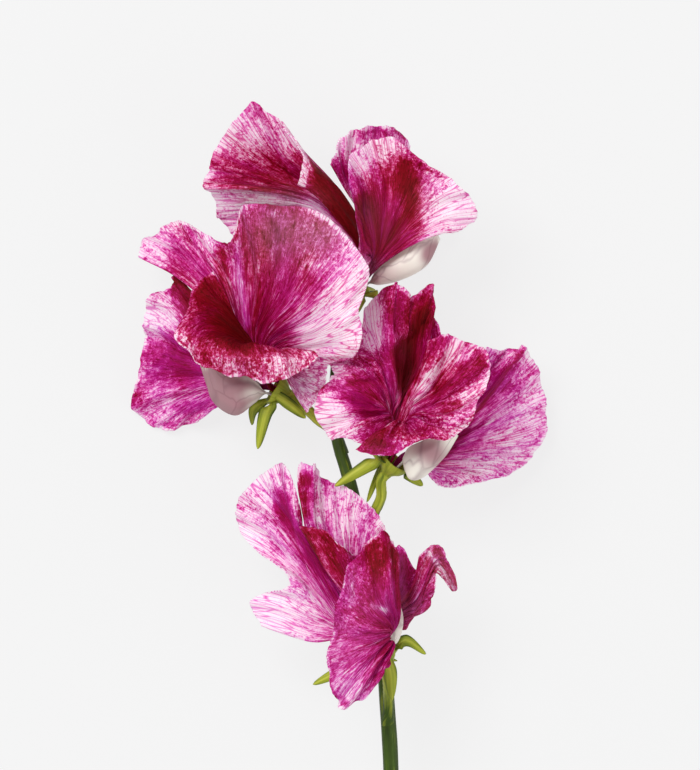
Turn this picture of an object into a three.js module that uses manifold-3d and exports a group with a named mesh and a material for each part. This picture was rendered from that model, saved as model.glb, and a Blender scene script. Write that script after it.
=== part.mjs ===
// Sweet pea stem: one cut flower stalk with four frilled blooms, lying on a surface.
// Millimetres. +Y runs along the stalk to its tip, +Z up from the surface it lies on.
// The origin is at the centre of the stem's footprint, on that surface.

import * as THREE from "three";
import { mergeVertices } from "three/addons/utils/BufferGeometryUtils.js";
import Module from "manifold-3d";

const wasm = await Module();
wasm.setup();

// Driving dimensions
const petalThickness = 0.6;
const stalkRadiusAtCut = 1.7;
const stalkRadiusAtTip = 1.0;
const pedicelRadius = 1.05;
const stalkSides = 8;
const stalkRings = 30;
const pedicelRings = 7;

const calyxLength = 3.6;
const calyxMouthRadius = 3.3;
const calyxNeckRadius = 1.25;
const calyxWall = 0.6;
const calyxShoulder = { radius: 0.86, height: 0.45 }; // as shares of the mouth radius and the length
const calyxSides = 12;

const sepalThickness = 0.7;
const sepalCells = { across: 2, along: 4 };
const sepalRootDepth = 0.3; // below the calyx mouth, as a share of its length
const sepalRootRadius = 0.93; // as a share of the mouth radius
const sepalTurn = { from: 0.05, to: 0.45 }; // where along it a sepal turns its flat side up
const sepalTipWidth = 0.2;

const clawDepth = 1.9; // how far a petal's claw reaches down into the calyx
const clawPinch = 0.65; // the claws stand this much closer together down there
const clawWidth = 1.7;
const clawRise = 0.8; // it stays a straight strip until this far above the calyx mouth
const clawStand = { back: 1.85, side: 1.75, front: 1.5 };

const petalCells = { across: 16, along: 9 };
const keelCells = { across: 10, along: 7 };
const clawRowPower = 0.75;
const normalPasses = 7;

// Colours
const magenta = 0xb8205f;
const crimson = 0xa01a48;
const paleKeel = 0xd8c9be;
const leafGreen = 0x8d9a2c;
const stalkGreen = 0x3c5a22;

const vec = (p) => new THREE.Vector3(p[0], p[1], p[2]);

// A smooth curve through hand-placed points, read at 0 to 1
const curveThrough = (points) => new THREE.CatmullRomCurve3(points, false, "centripetal");

function solidFrom(positions, indices) {
  const mesh = new wasm.Mesh({
    numProp: 3,
    vertProperties: new Float32Array(positions),
    triVerts: new Uint32Array(indices),
  });
  return new wasm.Manifold(mesh);
}

function solidOf(geometry) {
  const bare = geometry.clone();
  bare.deleteAttribute("normal");
  bare.deleteAttribute("uv");
  const welded = mergeVertices(bare, 1e-4);
  return solidFrom(welded.attributes.position.array, welded.index.array);
}

function geometryOf(solid) {
  const mesh = solid.getMesh();
  const geometry = new THREE.BufferGeometry();
  geometry.setAttribute("position", new THREE.BufferAttribute(mesh.vertProperties, 3));
  geometry.setIndex(new THREE.BufferAttribute(mesh.triVerts, 1));
  geometry.computeVertexNormals();
  return geometry;
}

// A closed blade of even thickness on a surface given as pointAt(u, v), both faces cut alike
function blade(pointAt, cells, thickness) {
  const columns = cells.across + 1;
  const rows = cells.along + 1;
  const middle = [];
  for (let row = 0; row < rows; row++) {
    for (let column = 0; column < columns; column++) {
      middle.push(pointAt(column / cells.across, row / cells.along));
    }
  }
  const place = (column, row) =>
    THREE.MathUtils.clamp(row, 0, rows - 1) * columns +
    THREE.MathUtils.clamp(column, 0, columns - 1);
  const gridOf = (valueAt) =>
    middle.map((_, index) => valueAt(index % columns, Math.floor(index / columns)));
  let normals = gridOf((column, row) => {
    const across = middle[place(column + 1, row)].clone().sub(middle[place(column - 1, row)]);
    const along = middle[place(column, row + 1)].clone().sub(middle[place(column, row - 1)]);
    return across.cross(along).normalize();
  });
  // Evened out over their neighbours, so that the inner face of a tight fold doesn't cross itself
  for (let pass = 0; pass < normalPasses; pass++) {
    normals = gridOf((column, row) => {
      const sum = normals[place(column, row)].clone().multiplyScalar(2);
      for (const step of [-1, 1]) {
        sum.add(normals[place(column + step, row)]).add(normals[place(column, row + step)]);
      }
      return sum.normalize();
    });
  }
  const positions = [];
  for (const side of [0.5, -0.5]) {
    middle.forEach((point, index) => {
      const moved = point.clone().addScaledVector(normals[index], side * thickness);
      positions.push(moved.x, moved.y, moved.z);
    });
  }
  const under = middle.length;
  const indices = [];
  for (let row = 0; row < cells.along; row++) {
    for (let column = 0; column < cells.across; column++) {
      const a = row * columns + column;
      const b = a + 1;
      const c = a + columns;
      const d = c + 1;
      const shortAC = middle[a].distanceTo(middle[d]) <= middle[b].distanceTo(middle[c]);
      const pair = shortAC ? [[a, b, d], [a, d, c]] : [[a, b, c], [b, d, c]];
      for (const [p, q, r] of pair) {
        indices.push(p, q, r);
        indices.push(p + under, r + under, q + under);
      }
    }
  }
  const rim = [];
  for (let column = 0; column < cells.across; column++) rim.push(column);
  for (let row = 0; row < cells.along; row++) rim.push(row * columns + cells.across);
  for (let column = cells.across; column > 0; column--) rim.push(cells.along * columns + column);
  for (let row = cells.along; row > 0; row--) rim.push(row * columns);
  rim.forEach((here, index) => {
    const next = rim[(index + 1) % rim.length];
    indices.push(here, here + under, next + under);
    indices.push(here, next + under, next);
  });
  return solidFrom(positions, indices);
}

// A petal is a fan of ribs, each a row of points from the calyx mouth out to the margin.
// They start in a narrow claw that stands in the calyx at `stand` from its axis.
function petalSurface({ ribs, ruffle = 0, waves = 3, phase = 0 }, flower, stand) {
  const reach = vec(ribs[ribs.length - 1][0]).sub(vec(ribs[0][0]));
  reach.addScaledVector(flower.axis, -reach.dot(flower.axis)).normalize();
  const deep = flower.mouth
    .clone()
    .addScaledVector(flower.axis, -clawDepth)
    .addScaledVector(stand, clawPinch);
  const mouth = flower.mouth.clone().addScaledVector(flower.axis, clawRise).add(stand);
  const ribCurves = ribs.map((rib, index) => {
    const sideStep = (index / (ribs.length - 1) - 0.5) * clawWidth;
    const start = deep.clone().addScaledVector(reach, sideStep * clawPinch);
    const neck = mouth.clone().addScaledVector(reach, sideStep);
    return curveThrough([start, neck, ...rib.map(vec)]);
  });
  const smooth = (u, v) => curveThrough(ribCurves.map((curve) => curve.getPoint(v))).getPoint(u);
  if (ruffle === 0) return smooth;
  return (u, v) => {
    const step = 0.01;
    const across = smooth(Math.min(u + step, 1), v).sub(smooth(Math.max(u - step, 0), v));
    const along = smooth(u, Math.min(v + step, 1)).sub(smooth(u, Math.max(v - step, 0)));
    const normal = across.cross(along).normalize();
    const height = ruffle * v ** 4 * Math.sin(2 * Math.PI * (waves * u + phase));
    return smooth(u, v).addScaledVector(normal, height);
  };
}

function petalMesh(name, petal, flower, stand, cells, colour) {
  const surface = petalSurface(petal, flower, stand);
  // The rows lie closer together toward the margin than in the claw
  const pointAt = (u, t) => surface(u, t ** clawRowPower);
  const material = new THREE.MeshStandardMaterial({ color: colour, roughness: 0.6, metalness: 0 });
  const mesh = new THREE.Mesh(geometryOf(blade(pointAt, cells, petalThickness)), material);
  mesh.name = name;
  return mesh;
}

const footOf = (flower) => flower.mouth.clone().addScaledVector(flower.axis, -calyxLength);

// The calyx: a thin green cup with five pointed sepals on its rim
function calyxMesh(name, flower) {
  const shoulderRadius = calyxMouthRadius * calyxShoulder.radius;
  const shoulderHeight = calyxLength * calyxShoulder.height;
  const profile = [
    [0, 0],
    [calyxNeckRadius, 0],
    [shoulderRadius, shoulderHeight],
    [calyxMouthRadius, calyxLength],
    [calyxMouthRadius - calyxWall, calyxLength],
    [shoulderRadius - calyxWall, shoulderHeight],
    [0, calyxWall],
  ].map(([radius, height]) => new THREE.Vector2(radius, height));
  const cup = new THREE.LatheGeometry(profile, calyxSides);
  const toAxis = new THREE.Quaternion().setFromUnitVectors(new THREE.Vector3(0, 1, 0), flower.axis);
  cup.applyQuaternion(toAxis);
  const foot = footOf(flower);
  cup.translate(foot.x, foot.y, foot.z);
  let solid = solidOf(cup);
  for (const sepal of flower.sepals) solid = solid.add(sepalSolid(sepal, flower));
  const material = new THREE.MeshStandardMaterial({ color: leafGreen, roughness: 0.55, metalness: 0 });
  const mesh = new THREE.Mesh(geometryOf(solid), material);
  mesh.name = name;
  return mesh;
}

// One sepal, from the cup's wall by way of `bend` to its drawn-out tip. With faceUp it twists until
// its flat side looks up.
function sepalSolid({ bend, tip, width, faceUp = false }, flower) {
  const outward = vec(bend).sub(flower.mouth);
  outward.addScaledVector(flower.axis, -outward.dot(flower.axis)).normalize();
  const wallRadius = calyxMouthRadius * sepalRootRadius - calyxWall / 2;
  const root = flower.mouth
    .clone()
    .addScaledVector(flower.axis, -calyxLength * sepalRootDepth)
    .addScaledVector(outward, wallRadius);
  const spine = curveThrough([root, vec(bend), vec(tip)]);
  const flat = outward.clone().cross(flower.axis).normalize();
  const level = new THREE.Vector3(0, 0, 1).cross(vec(tip).sub(root)).normalize();
  if (level.dot(flat) < 0) level.negate();
  const { from, to } = sepalTurn;
  const twistAt = (v) => (faceUp ? THREE.MathUtils.smoothstep(v, from, to) : 0);
  const flatAt = (v) => flat.clone().lerp(level, twistAt(v)).normalize();
  // It widens a little past its root, then draws out to the tip
  const widthAt = (v) => width * (1 - v) ** 0.6 * (0.9 + 0.8 * v) + sepalTipWidth;
  const pointAt = (u, v) => spine.getPoint(v).addScaledVector(flatAt(v), (u - 0.5) * widthAt(v));
  return blade(pointAt, sepalCells, sepalThickness);
}

// A closed round stalk along a curve, its radius given from start to end
function stalk(points, radiusAt, steps) {
  const path = curveThrough(points);
  const frames = path.computeFrenetFrames(steps, false);
  const positions = [];
  const indices = [];
  for (let ring = 0; ring <= steps; ring++) {
    const centre = path.getPointAt(ring / steps);
    const radius = radiusAt(ring / steps);
    for (let side = 0; side < stalkSides; side++) {
      const turn = (2 * Math.PI * side) / stalkSides;
      const point = centre
        .clone()
        .addScaledVector(frames.normals[ring], radius * Math.cos(turn))
        .addScaledVector(frames.binormals[ring], radius * Math.sin(turn));
      positions.push(point.x, point.y, point.z);
    }
  }
  for (let ring = 0; ring < steps; ring++) {
    for (let side = 0; side < stalkSides; side++) {
      const a = ring * stalkSides + side;
      const b = ring * stalkSides + ((side + 1) % stalkSides);
      indices.push(a, b, b + stalkSides, a, b + stalkSides, a + stalkSides);
    }
  }
  const lastRing = steps * stalkSides;
  for (let side = 1; side < stalkSides - 1; side++) {
    indices.push(0, side + 1, side);
    indices.push(lastRing, lastRing + side, lastRing + side + 1);
  }
  return solidFrom(positions, indices);
}

// A bloom's frame: the middle of the calyx mouth, the way the petals leave it, and the side
// on which the standard stands; the near wing is on the side that faces up
function bloomFrame({ mouth, axis, back, sepals, petals }) {
  const axisWay = vec(axis).normalize();
  const backWay = vec(back);
  backWay.addScaledVector(axisWay, -backWay.dot(axisWay)).normalize();
  const sideWay = axisWay.clone().cross(backWay).normalize();
  if (sideWay.z < 0) sideWay.negate();
  return { mouth: vec(mouth), axis: axisWay, back: backWay, side: sideWay, sepals, petals };
}

// The top bloom: its standard is rolled to the left, its wings spread to the right
const flowerOne = bloomFrame({
  mouth: [4.3, 74, 23],
  axis: [0.75, 0.62, 0.1],
  back: [-0.62, 0.75, 0],
  sepals: [
    { bend: [7.2, 71.2, 24.6], tip: [7.6, 69.4, 22.5], width: 2.0, faceUp: true },
    { bend: [4.4, 69.8, 23.6], tip: [3.6, 67.4, 20.5], width: 1.8, faceUp: true },
    { bend: [1.2, 75.8, 25.6], tip: [0.2, 79.2, 25.8], width: 1.8 },
    { bend: [0.6, 76.2, 21.2], tip: [-0.2, 78.8, 18.6], width: 1.8 },
    { bend: [5.6, 72.2, 18.6], tip: [7.4, 72.0, 15.4], width: 1.8 },
  ],
  petals: {
    standard: {
      at: "behind",
      ruffle: 0.8,
      waves: 4,
      phase: 0.1,
      ribs: [
        [[3.9, 80.2, 27.2], [-1.6, 87.6, 29.6], [-6, 91.8, 31.6], [-8.6, 93.2, 32.4]],
        [[4.8, 81, 27.2], [-0.3, 89.4, 29.9], [-4.9, 94.8, 32], [-7.3, 97.6, 32.8]],
        [[5.4, 81.5, 26], [0.6, 91.4, 28], [-5, 97.4, 29.6], [-8.2, 102.3, 30.6]],
        [[5.2, 81.4, 25], [-0.3, 91.8, 26], [-7.6, 99.3, 26.5], [-12, 104.2, 30]],
        [[5.0, 81.2, 24.3], [-2.3, 91.4, 24], [-11, 99, 24], [-16.8, 109.7, 31]],
        [[4.7, 81.0, 23.8], [-3, 91, 22.3], [-13, 97.5, 22], [-21, 106, 28]],
        [[4.4, 80.8, 23.4], [-3.5, 90.4, 21.5], [-15, 95.5, 20.5], [-24.6, 100, 25]],
        [[4.1, 80.6, 23.2], [-3.9, 89.8, 21.5], [-16, 93.6, 22], [-26.6, 95, 27]],
        [[3.8, 80.4, 23.2], [-4.2, 89.2, 23.5], [-17, 92.2, 30], [-27.3, 92.6, 30]],
        [[3.6, 80.2, 22.8], [-4.3, 88, 23], [-15, 89.8, 26.5], [-25, 89.6, 25]],
        [[3.4, 80, 22.4], [-4.2, 86.6, 21.5], [-14, 87, 22.5], [-24.2, 86.8, 21]],
        [[3.2, 79.8, 22], [-4, 85.2, 20], [-12, 83.5, 20], [-20, 82.4, 18]],
      ],
    },
    wing_near: {
      at: "near",
      ruffle: 0.7,
      waves: 3,
      phase: 0.4,
      ribs: [
        [[5.9, 78.3, 30.4], [5.8, 77.4, 32], [5.4, 75.8, 32.4], [4.8, 74.2, 31.8]],
        [[6.2, 78.9, 30.9], [5.5, 79.2, 32.2], [4.6, 79.4, 32.4], [3.6, 79.6, 32]],
        [[6.6, 79.4, 31.3], [5.6, 82.2, 32.5], [4.6, 84.6, 33.4], [3.4, 86.6, 33.8]],
        [[6.9, 79.6, 31.5], [5.6, 86, 33], [3.6, 91.6, 35], [1.6, 95.4, 36.6]],
        [[7.2, 79.6, 31.6], [6.8, 87.6, 32], [5, 94.4, 34], [2.2, 98.6, 37.4]],
        [[7.6, 79.5, 31.7], [8.6, 89, 32.6], [7.4, 96, 34.6], [6.3, 100.9, 37.8]],
        [[7.9, 79.3, 31.8], [10.6, 89.2, 33.6], [11, 97, 35.4], [10.2, 102.4, 37.6]],
        [[8.2, 79, 31.9], [12.8, 88.2, 33], [15.5, 94.6, 35], [17, 97.8, 37]],
        [[8.4, 78.6, 32], [14.4, 86.4, 33.8], [19.4, 91.2, 36.6], [23, 93.2, 38]],
        [[8.6, 78.2, 32.1], [15.2, 84.2, 34.4], [21.6, 88, 36], [27.2, 89, 35]],
        [[8.7, 77.7, 32.1], [15, 82.2, 34.8], [21.4, 85.2, 35.6], [27, 86, 33]],
        [[8.8, 77.2, 32], [13.6, 80.4, 34.6], [18.6, 82.6, 35.8], [22.5, 84.2, 34.5]],
      ],
    },
    wing_far: {
      at: "far",
      ruffle: 0.6,
      waves: 3,
      phase: 0.7,
      ribs: [
        [[7, 82, 20], [4, 88, 22], [1.2, 93, 27], [-0.9, 97, 31]],
        [[7.5, 83, 19], [4.4, 90, 22.5], [1, 97, 28], [0.9, 103.2, 30.5]],
        [[8, 83.2, 18.6], [6.4, 90.6, 22], [5, 98, 26.5], [5.4, 104.5, 28]],
        [[8.7, 83.5, 17.8], [9, 91, 18.5], [9.8, 98.4, 21.5], [10.2, 105, 23]],
        [[9.5, 83.5, 17], [12, 90, 11], [14, 95.5, 7], [15.5, 98.5, 4]],
        [[10.5, 83, 16], [15, 88.5, 9.5], [19.5, 92, 4], [22.5, 92, 0.7]],
        [[11, 82, 15.5], [16, 85.5, 9.5], [20.5, 87.5, 4.5], [24.5, 87, 1.6]],
        [[10.5, 81, 16], [14.5, 83, 11], [18, 84, 8], [21, 84, 5.5]],
      ],
    },
    keel: {
      at: "front",
      ribs: [
        [[8.5, 77.5, 27.5], [12, 80, 30.5], [16, 82.2, 30.5], [19.2, 84, 27.3]],
        [[8.5, 75.5, 28.5], [12.5, 77.3, 31.5], [16.5, 80, 31], [19.5, 83.3, 27]],
        [[8.5, 73.9, 27.5], [12.5, 75, 29.5], [16.8, 77.6, 29.5], [19.7, 82.7, 26.6]],
        [[8.2, 73, 25], [12.5, 74, 25.3], [17.3, 77, 25.3], [19.8, 82.5, 25.8]],
        [[8.5, 73.9, 22.5], [12.5, 75, 21.5], [16.8, 77.8, 21.6], [19.7, 82.7, 25]],
        [[8.5, 75.5, 21.3], [12.5, 77.5, 19.5], [16.5, 80.2, 20], [19.5, 83.3, 24.5]],
        [[8.5, 77, 21.6], [12, 79.5, 20.2], [16, 81.8, 20.5], [19.2, 84, 24.3]],
      ],
    },
  },
});

// The left bloom, the widest: an open standard behind a rolled near wing, the keel below
const flowerTwo = bloomFrame({
  mouth: [-13.2, 52.4, 23.5],
  axis: [-0.9, 0.42, 0.12],
  back: [0.42, 0.9, 0],
  sepals: [
    { bend: [-14.6, 47.6, 25.6], tip: [-16.3, 40.2, 24], width: 3.1, faceUp: true },
    { bend: [-17, 48.2, 20.2], tip: [-17.6, 45, 17.8], width: 2.2, faceUp: true },
    { bend: [-9.2, 48.6, 26.8], tip: [-6.7, 46.4, 25.6], width: 2.4, faceUp: true },
    { bend: [-9.6, 55.6, 20.4], tip: [-7.4, 57.4, 18.4], width: 2.0 },
    { bend: [-13.2, 50.4, 18.2], tip: [-13, 48.6, 14.6], width: 2.0 },
  ],
  petals: {
    standard: {
      at: "behind",
      ruffle: 0.8,
      waves: 5,
      phase: 0.2,
      ribs: [
        [[-18.2, 58.8, 25.2], [-25, 68, 24], [-33, 74.8, 19], [-40.5, 78.5, 13]],
        [[-18.6, 59.8, 25.4], [-25, 71, 23], [-33, 79.5, 17], [-38.8, 83, 10]],
        [[-18.7, 60.8, 25.6], [-24.5, 73, 22.5], [-30, 81, 18], [-33.5, 86.2, 12]],
        [[-18.5, 61.7, 25.8], [-22.5, 74, 24], [-26, 80, 22], [-28, 84.6, 20]],
        [[-17.9, 62.2, 26], [-20.3, 72, 27], [-21, 78, 28], [-22, 81.4, 29]],
        [[-17.3, 62, 26.5], [-18, 73, 30], [-18.5, 81, 33], [-19.6, 88.6, 34]],
        [[-16.8, 62, 27], [-14.5, 72, 33], [-13, 81, 37.5], [-12, 88.8, 39]],
        [[-16, 61.6, 27], [-10, 72, 36], [-7, 80, 41], [-4.5, 87.6, 42]],
        [[-15, 61.2, 27], [-7, 69, 38], [-1, 76, 43.5], [3, 81, 44]],
        [[-14, 60.8, 27], [-5, 66, 38.5], [1, 70.5, 44], [5.9, 75.3, 43]],
        [[-13, 60, 26.5], [-5, 62.8, 37.5], [0, 65, 43], [4, 67.5, 44]],
        [[-12, 58.8, 26], [-5.5, 60, 34.5], [0, 60.2, 39], [4.4, 60.1, 41]],
        [[-11.8, 58, 26], [-8, 57.8, 30.5], [-4.5, 57.6, 32.5], [-1.6, 57.4, 33]],
        [[-11.4, 57, 26.4], [-8.6, 54.4, 30], [-5.5, 52.7, 31.5], [-3.2, 51.6, 31.5]],
        [[-11.8, 56.6, 27], [-9.6, 52.6, 29.8], [-7.6, 49.4, 30.5], [-6.3, 47.4, 30.5]],
      ],
    },
    wing_near: {
      at: "near",
      ruffle: 0.5,
      waves: 4,
      phase: 0.3,
      ribs: [
        [[-13, 57.5, 31], [-8.5, 59.4, 36.5], [-5, 59.2, 39.4], [-4, 58.2, 40]],
        [[-14, 58.2, 31.5], [-11, 60.2, 38.5], [-8.6, 58.6, 41.5], [-7.6, 55.4, 41]],
        [[-15, 58.6, 31.8], [-14.5, 60.6, 39.5], [-13.2, 58.2, 43.2], [-12.6, 53.6, 42]],
        [[-16, 59, 31.8], [-18, 61.2, 40], [-17.6, 58.5, 44.5], [-17.2, 53.8, 42.5]],
        [[-17, 59.5, 31.3], [-22, 62, 40], [-22.8, 59.5, 44.8], [-22.6, 55.2, 42.8]],
        [[-17.5, 60, 30.8], [-25.5, 63, 38.5], [-27.8, 60.6, 42.5], [-28.4, 57.9, 41.5]],
        [[-17.8, 60.6, 30.3], [-26, 65.5, 36], [-30, 64.3, 40], [-32.4, 62.2, 39.5]],
        [[-18, 61.2, 29.8], [-24.5, 67.5, 33.5], [-28, 68.2, 36.5], [-30.4, 68, 38]],
        [[-17.9, 61.7, 29.2], [-21.8, 67.6, 31], [-25.6, 71.3, 33.6], [-27.7, 73.8, 34.8]],
        [[-17.3, 61.6, 28.6], [-20.1, 65, 29.2], [-22.4, 69.8, 31], [-25.6, 75.4, 33]],
      ],
    },
    wing_far: {
      at: "far",
      ruffle: 0.7,
      waves: 4,
      phase: 0.6,
      ribs: [
        [[-22, 62, 19], [-27, 69, 18.5], [-30.5, 73, 17], [-32.5, 75.8, 15.5]],
        [[-23, 61, 17.5], [-28, 66, 16.5], [-31.5, 70, 15], [-33.8, 73.6, 14]],
        [[-24, 59.5, 16], [-30, 64, 14.5], [-35, 69, 13.5], [-38.3, 70.6, 13]],
        [[-24.5, 57.5, 14], [-31, 60.5, 13], [-36, 63.5, 12], [-39.7, 64.5, 11]],
        [[-24.5, 55.5, 13], [-31, 56.5, 11.5], [-36, 57.3, 10], [-40, 57.5, 8]],
        [[-24, 53.8, 12], [-30.5, 53, 9.5], [-36.5, 51, 6.5], [-42.1, 47.9, 2.5]],
        [[-23, 52.3, 12], [-28.5, 50.2, 8.5], [-33.5, 47.2, 4.5], [-37.3, 44.6, 1.2]],
        [[-21.5, 51.3, 13], [-26, 49.3, 9.5], [-29.5, 47.3, 6], [-32, 44.3, 2.5]],
        [[-20, 50.8, 14.5], [-22.5, 49.8, 12.5], [-24.5, 48.6, 10.5], [-26.5, 47.4, 9]],
      ],
    },
    keel: {
      at: "front",
      ribs: [
        [[-17.5, 54.8, 26.5], [-20.5, 56, 29], [-24, 57.5, 29], [-26.3, 58.6, 26]],
        [[-17.5, 52.5, 27.8], [-20.8, 52.5, 30.6], [-24.3, 53.5, 30], [-26.8, 57.6, 25.8]],
        [[-16.9, 50.2, 26.3], [-20.5, 48.6, 28.3], [-24.8, 50.5, 27.8], [-27.1, 56.8, 25.3]],
        [[-16.9, 49.4, 23.5], [-20.8, 46.9, 24], [-25.5, 49.8, 24], [-27.2, 56.6, 24.6]],
        [[-16.9, 50.2, 21], [-20.5, 48.6, 19.9], [-24.8, 50.8, 20.5], [-27.1, 56.8, 23.8]],
        [[-17.5, 52.5, 19.7], [-20.8, 52.5, 17.9], [-24.3, 53.5, 18.9], [-26.8, 57.6, 23.3]],
        [[-17.5, 54.6, 20.4], [-20.5, 55.8, 19], [-24, 57.2, 19.8], [-26.3, 58.6, 23.1]],
      ],
    },
  },
});

// The right bloom: fluted wings fan up and forward, the standard spreads behind to the right
const flowerThree = bloomFrame({
  mouth: [11.2, 38, 28.5],
  axis: [0.55, 0.8, 0.25],
  back: [0.5, -0.1, -0.85],
  sepals: [
    { bend: [5.2, 36.6, 29], tip: [-0.8, 32.8, 28], width: 2.9, faceUp: true },
    { bend: [13.8, 35.2, 24.4], tip: [16.8, 32.8, 22], width: 2.6, faceUp: true },
    { bend: [7.0, 33.6, 26], tip: [5.6, 29.6, 24.8], width: 1.8 },
    { bend: [9.6, 36.2, 23.2], tip: [9.2, 33.6, 20], width: 2.0 },
    { bend: [7.4, 38.6, 32.2], tip: [6.0, 40.6, 34.6], width: 2.0 },
  ],
  petals: {
    standard: {
      at: "behind",
      ruffle: 0.6,
      waves: 4,
      phase: 0.1,
      ribs: [
        [[17.5, 41.5, 21], [22, 48.5, 19], [26.5, 55, 18], [29.5, 60.3, 20]],
        [[18, 41, 20], [24, 48, 16], [29.5, 55, 13.5], [34, 60.5, 13]],
        [[18.3, 40.5, 20], [25.5, 46.5, 18], [32, 54, 17], [37, 61, 16]],
        [[18.6, 40, 19.5], [27, 45.5, 15], [34.5, 51.5, 12], [39.6, 57, 9.5]],
        [[18.8, 39.3, 19], [27.5, 43.5, 14.5], [35.5, 48, 10.5], [42, 50.5, 6.5]],
        [[19, 38.7, 19], [27.5, 41, 14], [35.5, 43, 10], [42, 45.5, 5.5]],
        [[18.8, 38, 19], [27, 38.8, 14], [34, 39, 10.5], [39.5, 38.8, 7]],
        [[18.3, 37.2, 19.5], [25.5, 36.8, 15.5], [31, 36, 13], [34.5, 34.8, 10.5]],
        [[17.5, 36.6, 20], [22.5, 35.5, 17.5], [26.5, 34.6, 16], [28, 33.5, 15]],
        [[16.8, 36.4, 20.5], [19.4, 35.2, 19], [21, 33.8, 18.5], [21.5, 32.1, 18]],
        [[15.8, 36.3, 21.6], [17, 35.9, 20.8], [17.8, 35.2, 20.2], [18.3, 34.4, 19.8]],
      ],
    },
    wing_near: {
      at: "front",
      ruffle: 0.5,
      waves: 6,
      phase: 0.2,
      ribs: [
        [[12.6, 48, 30.4], [15.2, 54, 32.4], [17, 58.5, 34.6], [18.1, 62.3, 36.8]],
        [[13.3, 47.8, 31.2], [17.2, 53, 34.8], [20, 58, 38], [21.6, 63, 40]],
        [[14.2, 47.4, 32], [18.5, 52, 35], [22.5, 57, 37], [25.5, 61.6, 38]],
        [[14.4, 47, 32.5], [19.5, 50.5, 37], [25, 55.5, 40.5], [29.2, 60.2, 41]],
        [[14.5, 46.6, 33], [19.5, 49, 37], [25, 52, 40], [30, 55.3, 40]],
        [[14.5, 46.2, 33.5], [19.5, 47.2, 38.5], [24, 48.5, 42], [27.8, 50.5, 42]],
        [[14.3, 45.8, 34], [19, 45.6, 39.5], [23, 45.5, 43], [26.3, 45.8, 42.5]],
        [[13.9, 45.5, 34.5], [17.5, 44.5, 40], [20.5, 43.8, 43.5], [22.6, 42.6, 43]],
        [[13.3, 45.3, 34.5], [15.5, 43.8, 40], [16.8, 43, 43], [17.5, 42.1, 43]],
        [[12.7, 45.2, 34.5], [12.8, 43.5, 40.5], [12.9, 41.8, 43], [13, 40.4, 42.8]],
        [[12.1, 45.3, 34.3], [10.2, 43.2, 40.5], [9.2, 40.8, 43], [8.8, 38.6, 42.5]],
        [[11.6, 45.6, 34], [8, 44, 39.5], [5.5, 42, 42], [3.4, 40.2, 41.5]],
      ],
    },
    wing_far: {
      at: "far",
      ruffle: 0.5,
      waves: 6,
      phase: 0.6,
      ribs: [
        [[10.6, 45.2, 30.4], [9.4, 43, 33], [8.4, 41.2, 35.2], [7.6, 40, 36.2]],
        [[10.2, 45.9, 30.5], [7.7, 44.5, 33.6], [5.5, 43, 36], [3.2, 41.8, 36.8]],
        [[9.9, 46.6, 30.2], [6.5, 46, 33], [2.4, 44.1, 35.2], [-1.6, 42.3, 34]],
        [[9.8, 46.9, 29.9], [5.5, 48, 32.5], [0.5, 47.5, 34.5], [-5, 47.2, 33]],
        [[9.7, 47.2, 29.6], [5.5, 50, 32.5], [1, 52, 34], [-2.5, 53.6, 32]],
        [[9.7, 47.6, 29.2], [7, 52.5, 32.5], [3.4, 55.2, 33.6], [-1.3, 55.4, 31.6]],
        [[9.8, 47.9, 29], [7.5, 54, 32.6], [3, 57.4, 32.4], [-2.2, 58.2, 29.6]],
        [[10.1, 48.2, 28.6], [8.4, 55, 32.8], [5.6, 58.8, 33], [2.4, 60.1, 31.4]],
        [[10.4, 48.4, 28.4], [9.3, 56, 32], [7.3, 62.5, 30.5], [6.2, 68.8, 27]],
        [[10.8, 48.6, 28.2], [11, 57, 31.5], [10.8, 65, 35], [11.3, 73.4, 37]],
        [[11.2, 48.7, 28], [13, 57, 26.5], [13.2, 64, 30], [14.2, 71, 33]],
        [[11.6, 48.8, 27.8], [15, 57, 27.5], [16.3, 65, 32], [18.7, 73, 36]],
        [[12, 48.8, 27.6], [16.5, 56, 27.5], [17.8, 61, 29.6], [18.8, 67, 32.4]],
        [[12.4, 48.6, 27.4], [17.2, 54.2, 27.2], [19.6, 58, 28.6], [21.4, 61.6, 30.6]],
      ],
    },
    keel: {
      at: "near",
      ribs: [
        [[13.8, 40.4, 33.3], [16.4, 41.8, 34.8], [19.7, 43, 34], [22.8, 43.8, 31.2]],
        [[13.1, 38.5, 34], [15.3, 38.3, 35.4], [19.8, 41.2, 34.6], [23.1, 43.5, 30.8]],
        [[13.1, 36.5, 33.2], [14.1, 34.6, 33.6], [19.6, 38.4, 33.4], [23.3, 43.2, 30.3]],
        [[13.8, 35.4, 31], [15.8, 34.4, 30.6], [20.8, 38.8, 30], [23.4, 43, 29.7]],
        [[14.6, 36.4, 28.8], [17.4, 37, 27.4], [21, 40.4, 27.2], [23.3, 43.2, 29.1]],
        [[14.9, 37.8, 27.6], [17.5, 39.8, 26.2], [20.4, 42.2, 26], [23.1, 43.6, 28.5]],
        [[14.8, 39.6, 27.8], [17, 41.8, 26.4], [20, 43.4, 26.2], [22.8, 44.2, 28.1]],
      ],
    },
  },
});

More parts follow.
